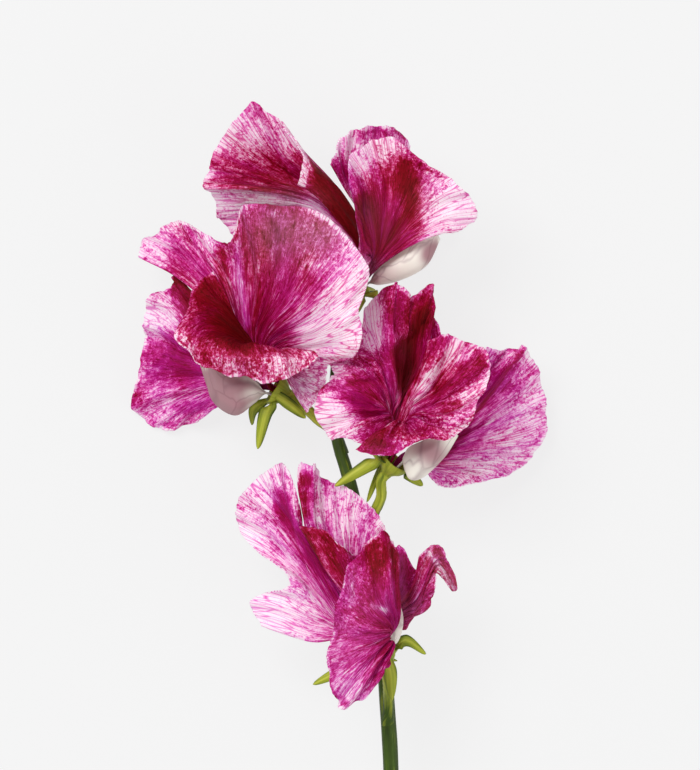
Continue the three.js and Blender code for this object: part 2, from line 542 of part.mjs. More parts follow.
// The lowest bloom: the near wing hangs in front of its calyx, the standard fans up and left
const flowerFour = bloomFrame({
  mouth: [8, -0.5, 28],
  axis: [-0.3, 0.9, 0.2],
  back: [-0.9, -0.3, -0.2],
  sepals: [
    { bend: [13.2, 1.9, 27], tip: [17.4, -0.8, 25.6], width: 2.6, faceUp: true },
    { bend: [10.2, -4.6, 29.6], tip: [10.6, -10, 27], width: 3.1, faceUp: true },
    { bend: [2.6, -3.2, 26.4], tip: [-5.2, -7, 24], width: 3.1, faceUp: true },
    { bend: [5, 3.2, 24], tip: [3.2, 5.6, 22.6], width: 1.8 },
    { bend: [9.4, -1.4, 23.4], tip: [11.6, -2.4, 21.6], width: 1.8 },
  ],
  petals: {
    standard: {
      at: "behind",
      ruffle: 0.6,
      waves: 6,
      phase: 0.3,
      ribs: [
        [[1, 2, 26], [-5, 1.5, 26], [-10, 2.8, 25], [-15.5, 4.6, 23]],
        [[0.5, 3.5, 26], [-6, 6, 25], [-12, 8.5, 23.5], [-18, 9.5, 21]],
        [[0.3, 4.8, 26], [-5, 9.5, 26], [-7.5, 12, 26.5], [-10, 13.4, 26]],
        [[0, 6, 26], [-7, 14.5, 25], [-14, 20.5, 22], [-20.5, 24, 18]],
        [[0, 7, 26.2], [-6.5, 17, 26], [-13, 25, 23.5], [-20.2, 29.5, 19]],
        [[0.3, 7.8, 26.5], [-5.5, 18.5, 27.5], [-10.8, 27.5, 27], [-15.5, 35.2, 25]],
        [[0.8, 8.4, 27], [-4.5, 18, 29.5], [-9.6, 27.5, 30.5], [-10.6, 37.3, 31]],
        [[1.3, 8.8, 27], [-3.5, 16.5, 28.4], [-6, 21, 29], [-7.1, 23.4, 29.6]],
        [[1.8, 9.2, 27], [-2.6, 16.5, 29], [-6.2, 25, 31], [-8, 37, 33]],
        [[2.4, 9.5, 27], [-1.5, 16.5, 29], [-4.8, 26, 30.5], [-4.9, 37.2, 31]],
        [[3, 9.7, 27], [0, 17, 28], [-2, 27, 27], [-2.6, 34.3, 27]],
        [[3.8, 9.8, 27], [2.5, 18, 27], [2.5, 26, 25.8], [3.5, 31.5, 25.8]],
        [[4.6, 9.8, 27], [5, 17, 26.8], [6.5, 23, 26.5], [8.5, 26, 26.8]],
        [[5.2, 9.5, 27], [6.5, 14, 27], [8, 18.5, 27], [9.6, 22.5, 27]],
      ],
    },
    wing_near: {
      at: "near",
      ruffle: 0.5,
      waves: 5,
      phase: 0.4,
      ribs: [
        [[10.6, 1.2, 35.2], [10.2, -1.4, 37.8], [9.3, -3, 39], [8.4, -4.6, 39]],
        [[10.4, 1.4, 35.5], [8.6, -3, 39.2], [6.8, -6.2, 40.2], [5, -9.2, 39]],
        [[10.2, 1.8, 35.8], [7, -2.8, 40.2], [4, -7, 41], [1.2, -11, 39]],
        [[10.1, 2.3, 36], [6, -1.2, 40.8], [2.5, -5, 41], [-1.1, -9.5, 38]],
        [[10, 2.9, 36.1], [5.8, 1, 41], [2, -1, 41], [-1.8, -3, 37]],
        [[10.1, 3.5, 36.1], [5.9, 3, 41.1], [2, 2.8, 41], [-2.2, 2, 37]],
        [[10.2, 4.1, 36.1], [6.2, 5.4, 41.2], [3.1, 7.5, 41], [0.1, 9.5, 37]],
        [[10.4, 4.6, 36.1], [7, 8.5, 41.4], [4.6, 13, 41.2], [2, 17.5, 37]],
        [[10.7, 5, 36], [8.3, 10.5, 41.6], [6.9, 16, 41.8], [5.5, 21.5, 38]],
        [[11, 5.3, 35.8], [9.8, 11.2, 41.4], [9.2, 17.5, 41.6], [9, 24, 38.5]],
        [[11.3, 5.5, 35.5], [11.1, 11, 39.8], [10.7, 17, 39.6], [10.8, 22, 37]],
        [[11.6, 5.6, 35.1], [12.1, 9.5, 37.6], [11.8, 12.5, 37.8], [11.3, 16, 36]],
      ],
    },
    wing_far: {
      at: "far",
      ruffle: 0.4,
      waves: 5,
      phase: 0.1,
      ribs: [
        [[6, 6.5, 31], [1.5, 11, 33], [-2.5, 16, 33], [-8, 24.8, 34]],
        [[6.3, 7, 31.5], [2.5, 13, 34], [-1, 19, 34.5], [-4, 24.8, 35]],
        [[6.8, 7.4, 32], [4, 14, 34.5], [2.5, 17.5, 35], [0, 21.3, 35.5]],
        [[7.3, 7.6, 31.5], [6, 14, 32.5], [5, 17, 32.5], [4, 19.5, 32]],
        [[8, 7.6, 30.5], [8.5, 13, 30.5], [9, 17, 30], [10, 20.5, 29.5]],
        [[8.6, 7.3, 29], [11, 12.5, 29], [12, 16.5, 29], [12.3, 21, 29]],
        [[9.3, 6.8, 28], [13, 11, 28], [14.6, 13.2, 28.2], [15.5, 16.2, 28.4]],
        [[9.6, 6.4, 27.6], [14, 10.6, 28], [16.2, 15.8, 29], [17.2, 19.8, 30]],
        [[9.7, 6.3, 27.4], [14.6, 10.3, 28], [17.4, 16.8, 29.4], [18.6, 21.3, 30.6]],
        [[9.8, 6.1, 27.2], [15, 10, 28], [18.6, 17.6, 29.7], [20.7, 20.4, 30.6]],
        [[9.9, 6, 27.1], [15.2, 9.7, 27.9], [19.5, 18, 29.8], [22, 17.4, 30.2]],
        [[9.9, 5.9, 27], [15.3, 9.4, 27.8], [20.1, 18.1, 29.7], [23.9, 12.7, 29.4]],
        [[10, 5.7, 26.8], [15.3, 9.1, 27.6], [19.9, 17.2, 29.5], [22.6, 11.4, 28.8]],
        [[10.1, 5.5, 26.6], [15.1, 8.7, 27.2], [18.3, 14.8, 28.8], [20, 15.8, 29]],
        [[10.1, 5.3, 26.4], [14.8, 8.2, 26.9], [17, 11.6, 27.8], [19.3, 13.4, 28]],
        [[10.2, 5, 26], [14, 7.2, 26.4], [16.4, 8.6, 26.9], [18.9, 10.4, 27.2]],
        [[10.2, 4.4, 25.4], [13, 5.4, 25.2], [15.2, 6.6, 25.4], [17.2, 8, 25.6]],
        [[10, 3.8, 24.8], [11.5, 4.2, 24.5], [12.6, 4.3, 24.4], [13.5, 4.5, 24.3]],
      ],
    },
    keel: {
      at: "front",
      ribs: [
        [[10.3, 3.4, 31.2], [10.8, 6, 31.9], [11.4, 8, 32.2], [12, 9.6, 32.2]],
        [[10.9, 2.4, 31], [11.7, 5, 31.8], [12.1, 7.4, 32], [12.3, 9.6, 31.9]],
        [[11.4, 1.6, 30], [12.5, 4.4, 30.4], [12.9, 7.2, 30.8], [12.5, 9.6, 31.4]],
        [[11, 2.5, 28.9], [11.9, 5, 29.1], [12.2, 7.5, 29.8], [12.3, 9.8, 30.9]],
        [[10.4, 3.6, 28.9], [10.9, 6, 29.2], [11.4, 8.2, 29.8], [12, 9.9, 30.6]],
      ],
    },
  },
});

// The stalk with its four pedicels is one grown piece; it runs on into the top bloom's pedicel
const pedicelGap = 0.3; // a pedicel stops this far short of the calyx it carries
const pedicelStraight = 1.4;
const intoFoot = (flower) =>
  [pedicelGap + pedicelStraight, pedicelGap].map((back) =>
    footOf(flower).addScaledVector(flower.axis, -back),
  );

const stalkPath = [
  [8, -110, 1.7],
  [9.4, -85, 4.2],
  [10.6, -55, 9.5],
  [10.4, -24, 15.5],
  [9.7, -12, 17.5],
  [8.9, -2, 18.6],
  [7, 10, 19.6],
  [5, 20, 20.2],
  [2.6, 31.5, 20.8],
  [1.4, 36, 21],
  [-0.3, 42, 21],
  [-0.9, 50, 20.5],
  [-0.3, 60, 20.6],
  [-0.2, 67, 21.6],
];
const pedicels = [
  { flower: flowerTwo, route: [[0.6, 39, 20.8], [-0.8, 43.4, 21.2], [-4.2, 46, 22]] },
  { flower: flowerThree, route: [[4.6, 20.5, 20.2], [6.4, 26, 22.6], [8.4, 30.6, 25]] },
  { flower: flowerFour, route: [[9.8, -15, 17.2], [9.9, -10, 20.5]] },
];

function stalkMesh() {
  const spine = [...stalkPath.map(vec), ...intoFoot(flowerOne)];
  const taper = (t) => THREE.MathUtils.lerp(stalkRadiusAtCut, stalkRadiusAtTip, t);
  let solid = stalk(spine, taper, stalkRings);
  for (const { flower, route } of pedicels) {
    const points = [...route.map(vec), ...intoFoot(flower)];
    solid = solid.add(stalk(points, () => pedicelRadius, pedicelRings));
  }
  const material = new THREE.MeshStandardMaterial({ color: stalkGreen, roughness: 0.5, metalness: 0 });
  const mesh = new THREE.Mesh(geometryOf(solid), material);
  mesh.name = "stem";
  return mesh;
}

const part = new THREE.Group();
part.add(stalkMesh());

const blooms = [flowerOne, flowerTwo, flowerThree, flowerFour];
blooms.forEach((flower, index) => {
  const name = `flower_${index + 1}`;
  const { back, side, petals } = flower;
  const places = {
    behind: [back, clawStand.back],
    near: [side, clawStand.side],
    far: [side, -clawStand.side],
    front: [back, -clawStand.front],
  };
  part.add(calyxMesh(`${name}_calyx`, flower));
  for (const [kind, petal] of Object.entries(petals)) {
    const isKeel = kind === "keel";
    const isWing = kind.startsWith("wing");
    const [way, distance] = places[petal.at];
    const stand = way.clone().multiplyScalar(distance);
    const cells = isKeel ? keelCells : petalCells;
    const colour = isKeel ? paleKeel : isWing ? crimson : magenta;
    part.add(petalMesh(`${name}_${kind}`, petal, flower, stand, cells, colour));
  }
});

export default part;
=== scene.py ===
import math
import bpy
import numpy as np
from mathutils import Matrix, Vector


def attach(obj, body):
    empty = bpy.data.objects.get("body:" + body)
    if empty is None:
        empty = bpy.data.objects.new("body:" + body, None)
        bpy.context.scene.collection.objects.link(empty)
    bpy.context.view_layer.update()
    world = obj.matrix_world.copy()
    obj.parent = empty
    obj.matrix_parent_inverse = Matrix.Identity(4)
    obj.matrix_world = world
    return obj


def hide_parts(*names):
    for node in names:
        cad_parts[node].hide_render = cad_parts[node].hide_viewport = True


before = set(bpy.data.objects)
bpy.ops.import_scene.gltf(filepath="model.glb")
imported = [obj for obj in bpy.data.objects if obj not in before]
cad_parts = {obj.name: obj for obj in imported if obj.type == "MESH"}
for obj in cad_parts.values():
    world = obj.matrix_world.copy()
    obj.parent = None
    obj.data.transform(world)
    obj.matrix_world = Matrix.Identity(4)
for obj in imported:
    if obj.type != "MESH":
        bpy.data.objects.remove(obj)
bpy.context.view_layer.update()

mm = 0.001


def hexColour(text):  # sRGB hex to the linear values that nodes take
    channels = [int(text[i:i + 2], 16) / 255 for i in (1, 3, 5)]
    return (*[c / 12.92 if c <= 0.04045 else ((c + 0.055) / 1.055) ** 2.4 for c in channels], 1.0)


def unit(v):
    v = np.asarray(v, float)
    return v / np.maximum(np.linalg.norm(v, axis=-1, keepdims=True), 1e-9)


def ease(low, high, x):  # 0 below low, 1 above high, smooth between
    t = np.clip((np.asarray(x, float) - low) / (high - low), 0, 1)
    return t * t * (3 - 2 * t)


def hill(x, width):  # a soft hill about 0
    return np.exp(-(x / width) ** 2)


def curveThrough(points, t):  # centripetal Catmull-Rom, as in the solids; points is (n, ..., 3)
    points = np.asarray(points, float)
    n = len(points)
    full = np.concatenate([2 * points[:1] - points[1:2], points, 2 * points[-1:] - points[-2:-1]])
    place = np.clip(np.asarray(t, float), 0, 1) * (n - 1)
    first = np.minimum(place.astype(int), n - 2)
    w = (place - first).reshape([-1] + [1] * (points.ndim - 1))
    p0, p1, p2, p3 = (full[first + k] for k in range(4))
    step = [np.sqrt(np.linalg.norm(b - a, axis=-1, keepdims=True)) for a, b in ((p0, p1), (p1, p2), (p2, p3))]
    d1 = np.where(step[1] < 1e-4, 1.0, step[1])  # two points at one place count as a step apart
    d0 = np.where(step[0] < 1e-4, d1, step[0])
    d2 = np.where(step[2] < 1e-4, d1, step[2])
    t1 = ((p1 - p0) / d0 - (p2 - p0) / (d0 + d1) + (p2 - p1) / d1) * d1
    t2 = ((p2 - p1) / d1 - (p3 - p1) / (d1 + d2) + (p3 - p2) / d2) * d1
    return p1 + t1 * w + (3 * p2 - 3 * p1 - 2 * t1 - t2) * w ** 2 + (2 * p1 - 2 * p2 + t1 + t2) * w ** 3


def wander(x, seed, low, high, waves=7):  # a smooth random line about 0, with low to high waves from 0 to 1
    rng = np.random.default_rng(seed)
    total = 0
    for _ in range(waves):
        total = total + np.sin(2 * np.pi * (rng.uniform(low, high) * x + rng.uniform()))
    return total / math.sqrt(waves / 2)


def gridNormals(grid, passes=0):  # grid is (columns, rows, 3); each pass smooths them once more
    normals = unit(np.cross(np.gradient(grid, axis=0), np.gradient(grid, axis=1)))
    for _ in range(passes):
        padded = np.pad(normals, ((1, 1), (1, 1), (0, 0)), mode="edge")
        normals = unit(2 * normals + padded[2:, 1:-1] + padded[:-2, 1:-1]
                       + padded[1:-1, 2:] + padded[1:-1, :-2])
    return normals


def shellPart(grid, normals, thickness, values):  # a closed thin shell on a grid, with one value a grid point
    columns, rows = grid.shape[:2]
    half = np.broadcast_to(thickness, (columns, rows))[..., None] / 2
    points = np.concatenate([(grid + normals * half).reshape(-1, 3), (grid - normals * half).reshape(-1, 3)])
    under = columns * rows
    index = np.arange(under).reshape(columns, rows)
    quads = np.stack([index[:-1, :-1], index[1:, :-1], index[1:, 1:], index[:-1, 1:]], -1).reshape(-1, 4)
    rim = np.concatenate([index[:-1, 0], index[-1, :-1], index[:0:-1, -1], index[0, :0:-1]])
    after = np.roll(rim, -1)
    edge = np.stack([rim, rim + under, after + under, after], -1)
    data = {key: np.tile(np.asarray(value, float).reshape(under, -1), (2, 1))
            for key, value in values.items()}
    return points, [quads, quads[:, ::-1] + under, edge], data


def tubePart(rings, values):  # a closed skin over rings of points, (rings, sides, 3), with a fan at each end
    count, sides = rings.shape[:2]
    points = np.concatenate([rings.reshape(-1, 3), rings[:1].mean(1), rings[-1:].mean(1)])
    index = np.arange(count * sides).reshape(count, sides)
    after = np.roll(index, -1, axis=1)
    quads = np.stack([index[:-1], after[:-1], after[1:], index[1:]], -1).reshape(-1, 4)
    first, last = np.full(sides, count * sides), np.full(sides, count * sides + 1)
    fans = np.concatenate([np.stack([first, after[0], index[0]], -1),
                           np.stack([last, index[-1], after[-1]], -1)])
    data = {}
    for key, value in values.items():
        value = np.asarray(value, float).reshape(count, sides, -1)
        data[key] = np.concatenate([value.reshape(count * sides, -1), value[:1].mean(1), value[-1:].mean(1)])
    return points, [quads, fans], data


def meshFrom(name, parts):  # one mesh of several parts, its values kept as attributes
    starts = np.cumsum([0] + [len(part[0]) for part in parts])
    points = np.concatenate([part[0] for part in parts])
    faces = [faceList + start for part, start in zip(parts, starts) for faceList in part[1]]
    corners = np.concatenate([faceList.ravel() for faceList in faces])
    sizes = np.concatenate([np.full(len(faceList), faceList.shape[1]) for faceList in faces])
    mesh = bpy.data.meshes.new(name)
    mesh.vertices.add(len(points))
    mesh.vertices.foreach_set("co", (points * mm).astype(np.float32).ravel())
    mesh.loops.add(len(corners))
    mesh.loops.foreach_set("vertex_index", corners.astype(np.int32))
    mesh.polygons.add(len(sizes))
    mesh.polygons.foreach_set("loop_start", (np.cumsum(sizes) - sizes).astype(np.int32))
    mesh.update(calc_edges=True)
    mesh.shade_smooth()
    for key in parts[0][2]:
        data = np.concatenate([part[2][key] for part in parts])
        vector = data.shape[1] == 3
        layer = mesh.attributes.new(key, "FLOAT_VECTOR" if vector else "FLOAT", "POINT")
        layer.data.foreach_set("vector" if vector else "value", data.astype(np.float32).ravel())
    return mesh


def addPiece(name, mesh, material, node):
    mesh.materials.append(material)
    piece = bpy.data.objects.new(name, mesh)
    bpy.context.scene.collection.objects.link(piece)
    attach(piece, "root")
    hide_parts(node)


def addNode(tree, kind, settings=None, inputs=None):
    # One node with its settings; an input is a number, a colour, or the node or socket that feeds it
    node = tree.nodes.new("ShaderNode" + kind)
    for key, value in (settings or {}).items():
        setattr(node, key, value)
    for key, source in (inputs or {}).items():
        if isinstance(source, bpy.types.Node):
            source = next(socket for socket in source.outputs if socket.enabled)
        if isinstance(source, bpy.types.NodeSocket):
            tree.links.new(source, node.inputs[key])
        else:
            node.inputs[key].default_value = source
    return node


# Settings that many nodes share
add, multiply, multiplyAdd = [{"operation": name} for name in ("ADD", "MULTIPLY", "MULTIPLY_ADD")]
numbers, colours, smooth = {"data_type": "FLOAT"}, {"data_type": "RGBA"}, {"interpolation_type": "SMOOTHSTEP"}


def newMaterial(name, *attributes):  # a material, its tree, and the values of the mesh that it reads
    material = bpy.data.materials.new(name)
    material.use_nodes = True
    tree = material.node_tree
    tree.nodes.clear()
    read = [addNode(tree, "Attribute", {"attribute_name": key}) for key in attributes]
    return material, tree, [node.outputs["Vector" if "Map" in node.attribute_name else "Fac"]
                            for node in read]


def stretched(tree, place, width, length, shift):  # a place on the piece, counted in marks of this size in mm
    return addNode(tree, "VectorMath", multiplyAdd,
                   {0: place, 1: (1 / width, 1 / length, 1.0), 2: (shift, shift * 0.7, shift)})


def grownMarks(tree, place, form):  # noise in marks that lie along the growth
    return addNode(tree, "TexNoise", {}, {
        "Vector": stretched(tree, place, form["width"], form["length"], form["shift"]), "Scale": 1.0,
        "Detail": form["detail"], "Roughness": form.get("rough", 0.5), "Distortion": form.get("bent", 0.0)})


def petalSurface(tree, look, colour, height):  # satin, and a share of the light from behind comes through
    raised = addNode(tree, "Bump", {}, {
        "Strength": look["bump"], "Distance": look["bumpHeight"] * mm, "Height": height})
    front = addNode(tree, "BsdfPrincipled", {}, {"Base Color": colour, "Roughness": look["roughness"],
                    "Specular IOR Level": look["gloss"], "Normal": raised})
    through = addNode(tree, "BsdfTranslucent", {}, {"Color": colour, "Normal": raised})
    both = addNode(tree, "MixShader", {}, {0: look["seeThrough"], 1: front, 2: through})
    addNode(tree, "OutputMaterial", {}, {"Surface": both})


petalLook = {
    "ground": "#faf0f5",  # the unmarked tissue, a white that leans to pink
    # Dye colours at full depth; a thinner layer of each is lighter and pinker
    "crimson": "#b40e48", "magenta": "#c81c84", "violet": "#d642b6",
    "greyAndShadeSaturation": -0.36, "greyAndShadeLight": -0.2,  # where this value is high the tissue greys and darkens, in places as painted shade
    # Kinds of mark, in mm across and along the veins; shift only picks another part of the noise
    "patch": {"width": 7.0, "length": 12.0, "shift": 5.0, "detail": 1.0, "bent": 0.3},
    "streak": {"width": 0.7, "length": 4.2, "shift": 0.0, "detail": 3.0, "rough": 0.6, "bent": 0.6},
    "fine": {"width": 0.26, "length": 1.3, "shift": 13.0, "detail": 2.0, "rough": 0.6, "bent": 0.7},
    "net": {"width": 0.8, "length": 1.6, "shift": 53.0, "detail": 2.0, "rough": 0.6, "bent": 1.2},
    "cloud": {"width": 2.2, "length": 3.2, "shift": 71.0, "detail": 1.0, "bent": 0.6},
    "mottleSize": 0.62, "veinWidth": 0.9, "veinLength": 9.0,
    "smallShare": (0.45, 0.75),  # of small marks against streaks, in streaked and in mottled tissue
    "patchShare": 0.15, "cloudShare": 0.2,
    "pigmentGain": 2.1, "spread": (-0.18, 0.82),  # how far the marks move the amount of pigment
    "coverFrom": 0.95, "coverTo": 2.6, "deepest": 1.6,  # amounts where dye begins and is deepest
    "netLine": 0.055, "netOnWhite": 0.1, "netOnDye": -0.6,  # it adds dye on white and takes it off deep dye
    "veinLine": 0.08, "veinDepth": 0.38, "strokeDepth": 0.6, "denseAndShadedDepth": 0.8,
    "hueByPatch": 1.2, "hueByStreak": 0.8,
    "bump": 0.5, "bumpHeight": 0.1, "roughness": 0.6, "gloss": 0.12, "seeThrough": 0.42,
}


def flakedPetal():
    # A sweet pea petal, grown: thin moist tissue with pigment in streaks along its veins. It gives
    # the eye a satin sheet that glows where light comes from behind.
    look = petalLook
    material, tree, read = newMaterial("flaked petal tissue", "petalMap", "pigment", "violet", "greyAndShade",
                                       "mottled")
    place, pigment, hue, greyAndShade, mottled = read  # place is mm across, mm along, and the petal's own number
    patch, streak, fine, net, cloud = [grownMarks(tree, place, look[kind])
                                       for kind in ("patch", "streak", "fine", "net", "cloud")]
    mottle = addNode(tree, "TexNoise", {}, {
        "Vector": addNode(tree, "TexCoord").outputs["Object"], "Scale": 1 / (look["mottleSize"] * mm),
        "Detail": 3.0, "Roughness": 0.7, "Distortion": 0.6})

    # Streaks inside, marbling toward the margin, and broad patches under both
    small = addNode(tree, "Mix", numbers, {0: mottled, 2: fine, 3: mottle})
    least, most = look["smallShare"]
    share = addNode(tree, "MapRange", {}, {"Value": mottled, "To Min": least, "To Max": most})
    marked = addNode(tree, "Mix", numbers, {0: share, 2: streak, 3: small})
    marked = addNode(tree, "Mix", numbers, {0: look["patchShare"], 2: marked, 3: patch})
    marked = addNode(tree, "Mix", numbers, {0: look["cloudShare"], 2: marked, 3: cloud})
    least, most = look["spread"]
    spread = addNode(tree, "MapRange", {"clamp": False},
                     {"Value": marked, "From Min": 0.42, "From Max": 0.58, "To Min": least, "To Max": most})
    amount = addNode(tree, "Math", multiplyAdd, {0: pigment, 1: look["pigmentGain"], 2: spread})
    cover = addNode(tree, "MapRange", smooth, {"Value": amount, "From Min": look["coverFrom"],
                    "From Max": look["coverTo"], "To Max": look["deepest"]})

    # Fine lines: a net where the noise crosses its mean, faint in places, branched veins and strokes
    level = addNode(tree, "Math", {"operation": "SUBTRACT"}, {0: net, 1: 0.5})
    level = addNode(tree, "Math", {"operation": "ABSOLUTE"}, {0: level})
    netLine = addNode(tree, "MapRange", smooth,
                      {"Value": level, "From Min": look["netLine"], "From Max": 0.0})
    netDepth = addNode(tree, "MapRange", {},
                       {"Value": cover, "To Min": look["netOnWhite"], "To Max": look["netOnDye"]})
    clear = addNode(tree, "MapRange", {}, {"Value": cloud, "From Min": 0.38, "From Max": 0.6,
                    "To Min": 1.0, "To Max": 0.15})
    netDepth = addNode(tree, "Math", multiply, {0: netDepth, 1: clear})
    cells = addNode(tree, "TexVoronoi", {"feature": "DISTANCE_TO_EDGE"}, {
        "Vector": stretched(tree, place, look["veinWidth"], look["veinLength"], 41.0), "Scale": 1.0})
    vein = addNode(tree, "MapRange", {}, {"Value": cells, "From Max": look["veinLine"],
                   "To Min": look["veinDepth"], "To Max": 0.0})
    stroke = addNode(tree, "MapRange", smooth,
                     {"Value": fine, "From Min": 0.5, "From Max": 0.66, "To Max": look["strokeDepth"]})
    # Deeper still where the pigment is heaviest: deep dye, and painted shade in the throats and hollows
    denseAndShaded = addNode(tree, "MapRange", {}, {"Value": pigment, "From Min": 0.9, "From Max": 1.7,
                    "To Max": look["denseAndShadedDepth"]})
    depth = addNode(tree, "Math", multiplyAdd, {0: netLine, 1: netDepth, 2: cover})
    depth = addNode(tree, "Math", multiplyAdd, {0: cover, 1: stroke, 2: depth})
    for more in (vein, denseAndShaded):
        depth = addNode(tree, "Math", add, {0: depth, 1: more})
    depth = addNode(tree, "Math", {"operation": "MAXIMUM"}, {0: depth, 1: 0.0})

    # The dye runs from crimson through magenta to violet, and a deeper layer of it multiplies the colour
    byPatch, byStreak = look["hueByPatch"], look["hueByStreak"]
    tone = addNode(tree, "Math", multiplyAdd, {0: patch, 1: byPatch, 2: -(byPatch + byStreak) / 2})
    tone = addNode(tree, "Math", multiplyAdd, {0: streak, 1: byStreak, 2: tone})
    tone = addNode(tree, "Math", add, {0: hue, 1: tone})
    toMagenta = addNode(tree, "MapRange", {}, {"Value": tone, "From Max": 0.5})
    toViolet = addNode(tree, "MapRange", {}, {"Value": tone, "From Min": 0.5})
    dye = addNode(tree, "Mix", colours,
                  {0: toMagenta, 6: hexColour(look["crimson"]), 7: hexColour(look["magenta"])})
    dye = addNode(tree, "Mix", colours, {0: toViolet, 6: dye, 7: hexColour(look["violet"])})
    dye = addNode(tree, "Gamma", {}, {"Color": dye, "Gamma": depth})
    colour = addNode(tree, "Mix", {"data_type": "RGBA", "blend_type": "MULTIPLY"},
                     {0: 1.0, 6: hexColour(look["ground"]), 7: dye})
    # Greying and painted shade: less saturated and darker where the mesh's value says so
    grey = addNode(tree, "Math", multiplyAdd, {0: greyAndShade, 1: look["greyAndShadeSaturation"], 2: 1.0})
    dim = addNode(tree, "Math", multiplyAdd, {0: greyAndShade, 1: look["greyAndShadeLight"], 2: 1.0})
    colour = addNode(tree, "HueSaturation", {}, {"Saturation": grey, "Value": dim, "Color": colour})
    petalSurface(tree, look, colour, addNode(tree, "Mix", numbers, {0: 0.5, 2: vein, 3: fine}))
    return material


keelLook = {
    "cream": "#f8f4ea", "blush": "#b68a90", "vein": "#7d4a5c",
    "patch": {"width": 5.0, "length": 9.0, "shift": 3.0, "detail": 3.0},  # mm
    "veinWidth": 1.5, "veinLength": 8.0, "veinBend": (1.6, 1.0, 0.0), "veinLine": 0.05, "veinDepth": 0.34,
    "bump": 0.4, "bumpHeight": 0.08, "roughness": 0.5, "gloss": 0.4, "seeThrough": 0.3,
}


def palePetal():
    # The keel, grown: two thin petals joined in a boat, unflaked. It gives the eye a waxy cream
    # that turns to a dusty pink, with a few faint veins.
    look = keelLook
    material, tree, (place, pigment) = newMaterial("waxy keel tissue", "petalMap", "pigment")
    patch = grownMarks(tree, place, look["patch"])
    amount = addNode(tree, "Math", add, {0: pigment, 1: patch})
    blush = addNode(tree, "MapRange", smooth, {"Value": amount, "From Min": 0.6, "From Max": 1.3})
    flesh = addNode(tree, "Mix", colours,
                    {0: blush, 6: hexColour(look["cream"]), 7: hexColour(look["blush"])})
    bent = addNode(tree, "VectorMath", multiplyAdd,  # so that the veins wander
                   {0: patch.outputs["Color"], 1: look["veinBend"],
                    2: stretched(tree, place, look["veinWidth"], look["veinLength"], 11.0)})
    cells = addNode(tree, "TexVoronoi", {"feature": "DISTANCE_TO_EDGE"}, {"Vector": bent, "Scale": 1.0})
    vein = addNode(tree, "MapRange", {}, {"Value": cells, "From Max": look["veinLine"],
                   "To Min": look["veinDepth"], "To Max": 0.0})
    colour = addNode(tree, "Mix", colours, {0: vein, 6: flesh, 7: hexColour(look["vein"])})
    petalSurface(tree, look, colour, vein)
    return material


greenLook = {
    "shade": "#222e0a",
    # From the darkest to the youngest growth: the colour, and the youth where it begins and is whole
    "growth": [("#3c5214", -0.3, 0.3), ("#8a9428", 0.3, 0.65), ("#b6ba42", 0.65, 1.1)],
    "fibre": {"width": 0.35, "length": 7.0, "shift": 2.0, "detail": 3.0},  # mm
    "cloud": {"width": 1.6, "length": 6.0, "shift": 7.0, "detail": 2.0},
    "spot": {"width": 0.4, "length": 0.4, "shift": 9.0, "detail": 1.0},
    "fibreDrift": 0.8, "cloudDrift": 0.9, "meanDrift": 0.83,  # how far both move the colour, and their mean
    "bump": 0.5, "bumpHeight": 0.08, "gloss": 0.2, "seeThrough": 0.12,
    "sepalRoughness": (0.42, 0.6), "stalkRoughness": (0.4, 0.62),
}


def greenSkin(name, least, most):
    # Green stem and sepal skin, grown: a soft waxy film over fibres that run lengthwise. It gives
    # the eye a low sheen, fine lighter fibres, and a lime green where the growth is young.
    look = greenLook
    material, tree, (place, youth) = newMaterial(name, "greenMap", "young")
    fibre, cloud, spot = [grownMarks(tree, place, look[kind]) for kind in ("fibre", "cloud", "spot")]
    drift = addNode(tree, "Math", multiplyAdd, {0: fibre, 1: look["fibreDrift"], 2: youth})
    drift = addNode(tree, "Math", multiplyAdd, {0: cloud, 1: look["cloudDrift"], 2: drift})
    drift = addNode(tree, "Math", {"operation": "SUBTRACT"}, {0: drift, 1: look["meanDrift"]})
    colour = hexColour(look["shade"])
    for paint, start, end in look["growth"]:
        share = addNode(tree, "MapRange", {}, {"Value": drift, "From Min": start, "From Max": end})
        colour = addNode(tree, "Mix", colours, {0: share, 6: colour, 7: hexColour(paint)})
    height = addNode(tree, "Mix", numbers, {0: 0.4, 2: fibre, 3: spot})
    raised = addNode(tree, "Bump", {}, {
        "Strength": look["bump"], "Distance": look["bumpHeight"] * mm, "Height": height})
    rough = addNode(tree, "MapRange", {}, {"Value": spot, "From Min": 0.3, "From Max": 0.7,
                    "To Min": least, "To Max": most})
    skin = addNode(tree, "BsdfPrincipled", {}, {"Base Color": colour, "Roughness": rough,
                   "Specular IOR Level": look["gloss"], "Normal": raised})
    through = addNode(tree, "BsdfTranslucent", {}, {"Color": colour})
    both = addNode(tree, "MixShader", {}, {0: look["seeThrough"], 1: skin, 2: through})
    addNode(tree, "OutputMaterial", {}, {"Surface": both})
    return material


# How every petal is made
petalMake = {
    "thickness": 0.28,  # a real petal is 0.2 to 0.3
    "clawDepth": 1.9, "clawPinch": 0.65, "clawWidth": 1.7, "clawRise": 0.8,
    "standBack": 1.85, "standSide": 1.75, "standFront": 1.5,  # how far from the cup's middle each kind stands
    "petalCells": (150, 100), "keelCells": (60, 60),  # across, along
    "rowPower": 0.8,  # rows lie closer together toward the margin
    "foldEdge": 0.14,  # about the radius that a crease keeps along its edge
    "leastPigment": 0.45,  # below this the pigment falls slowly, so that no part is bare of strokes
    "slowFall": 0.45,  # how much of each step down is left there
    "creaseShading": 0.3, "ridgeShading": 1.6,  # pigment taken off for each mm that a crease or a ridge stands up, and added where it sinks: painted light on crests, painted shade in hollows
    "rimPale": 0.16,  # pigment lost on the very rim
    "mostGreyAndShade": 0.8, "marginMottled": 0.85,
    "marginShort": 0.14, "marginNotched": 0.06,  # how unevenly the margin ends, in long and in fine waves
}

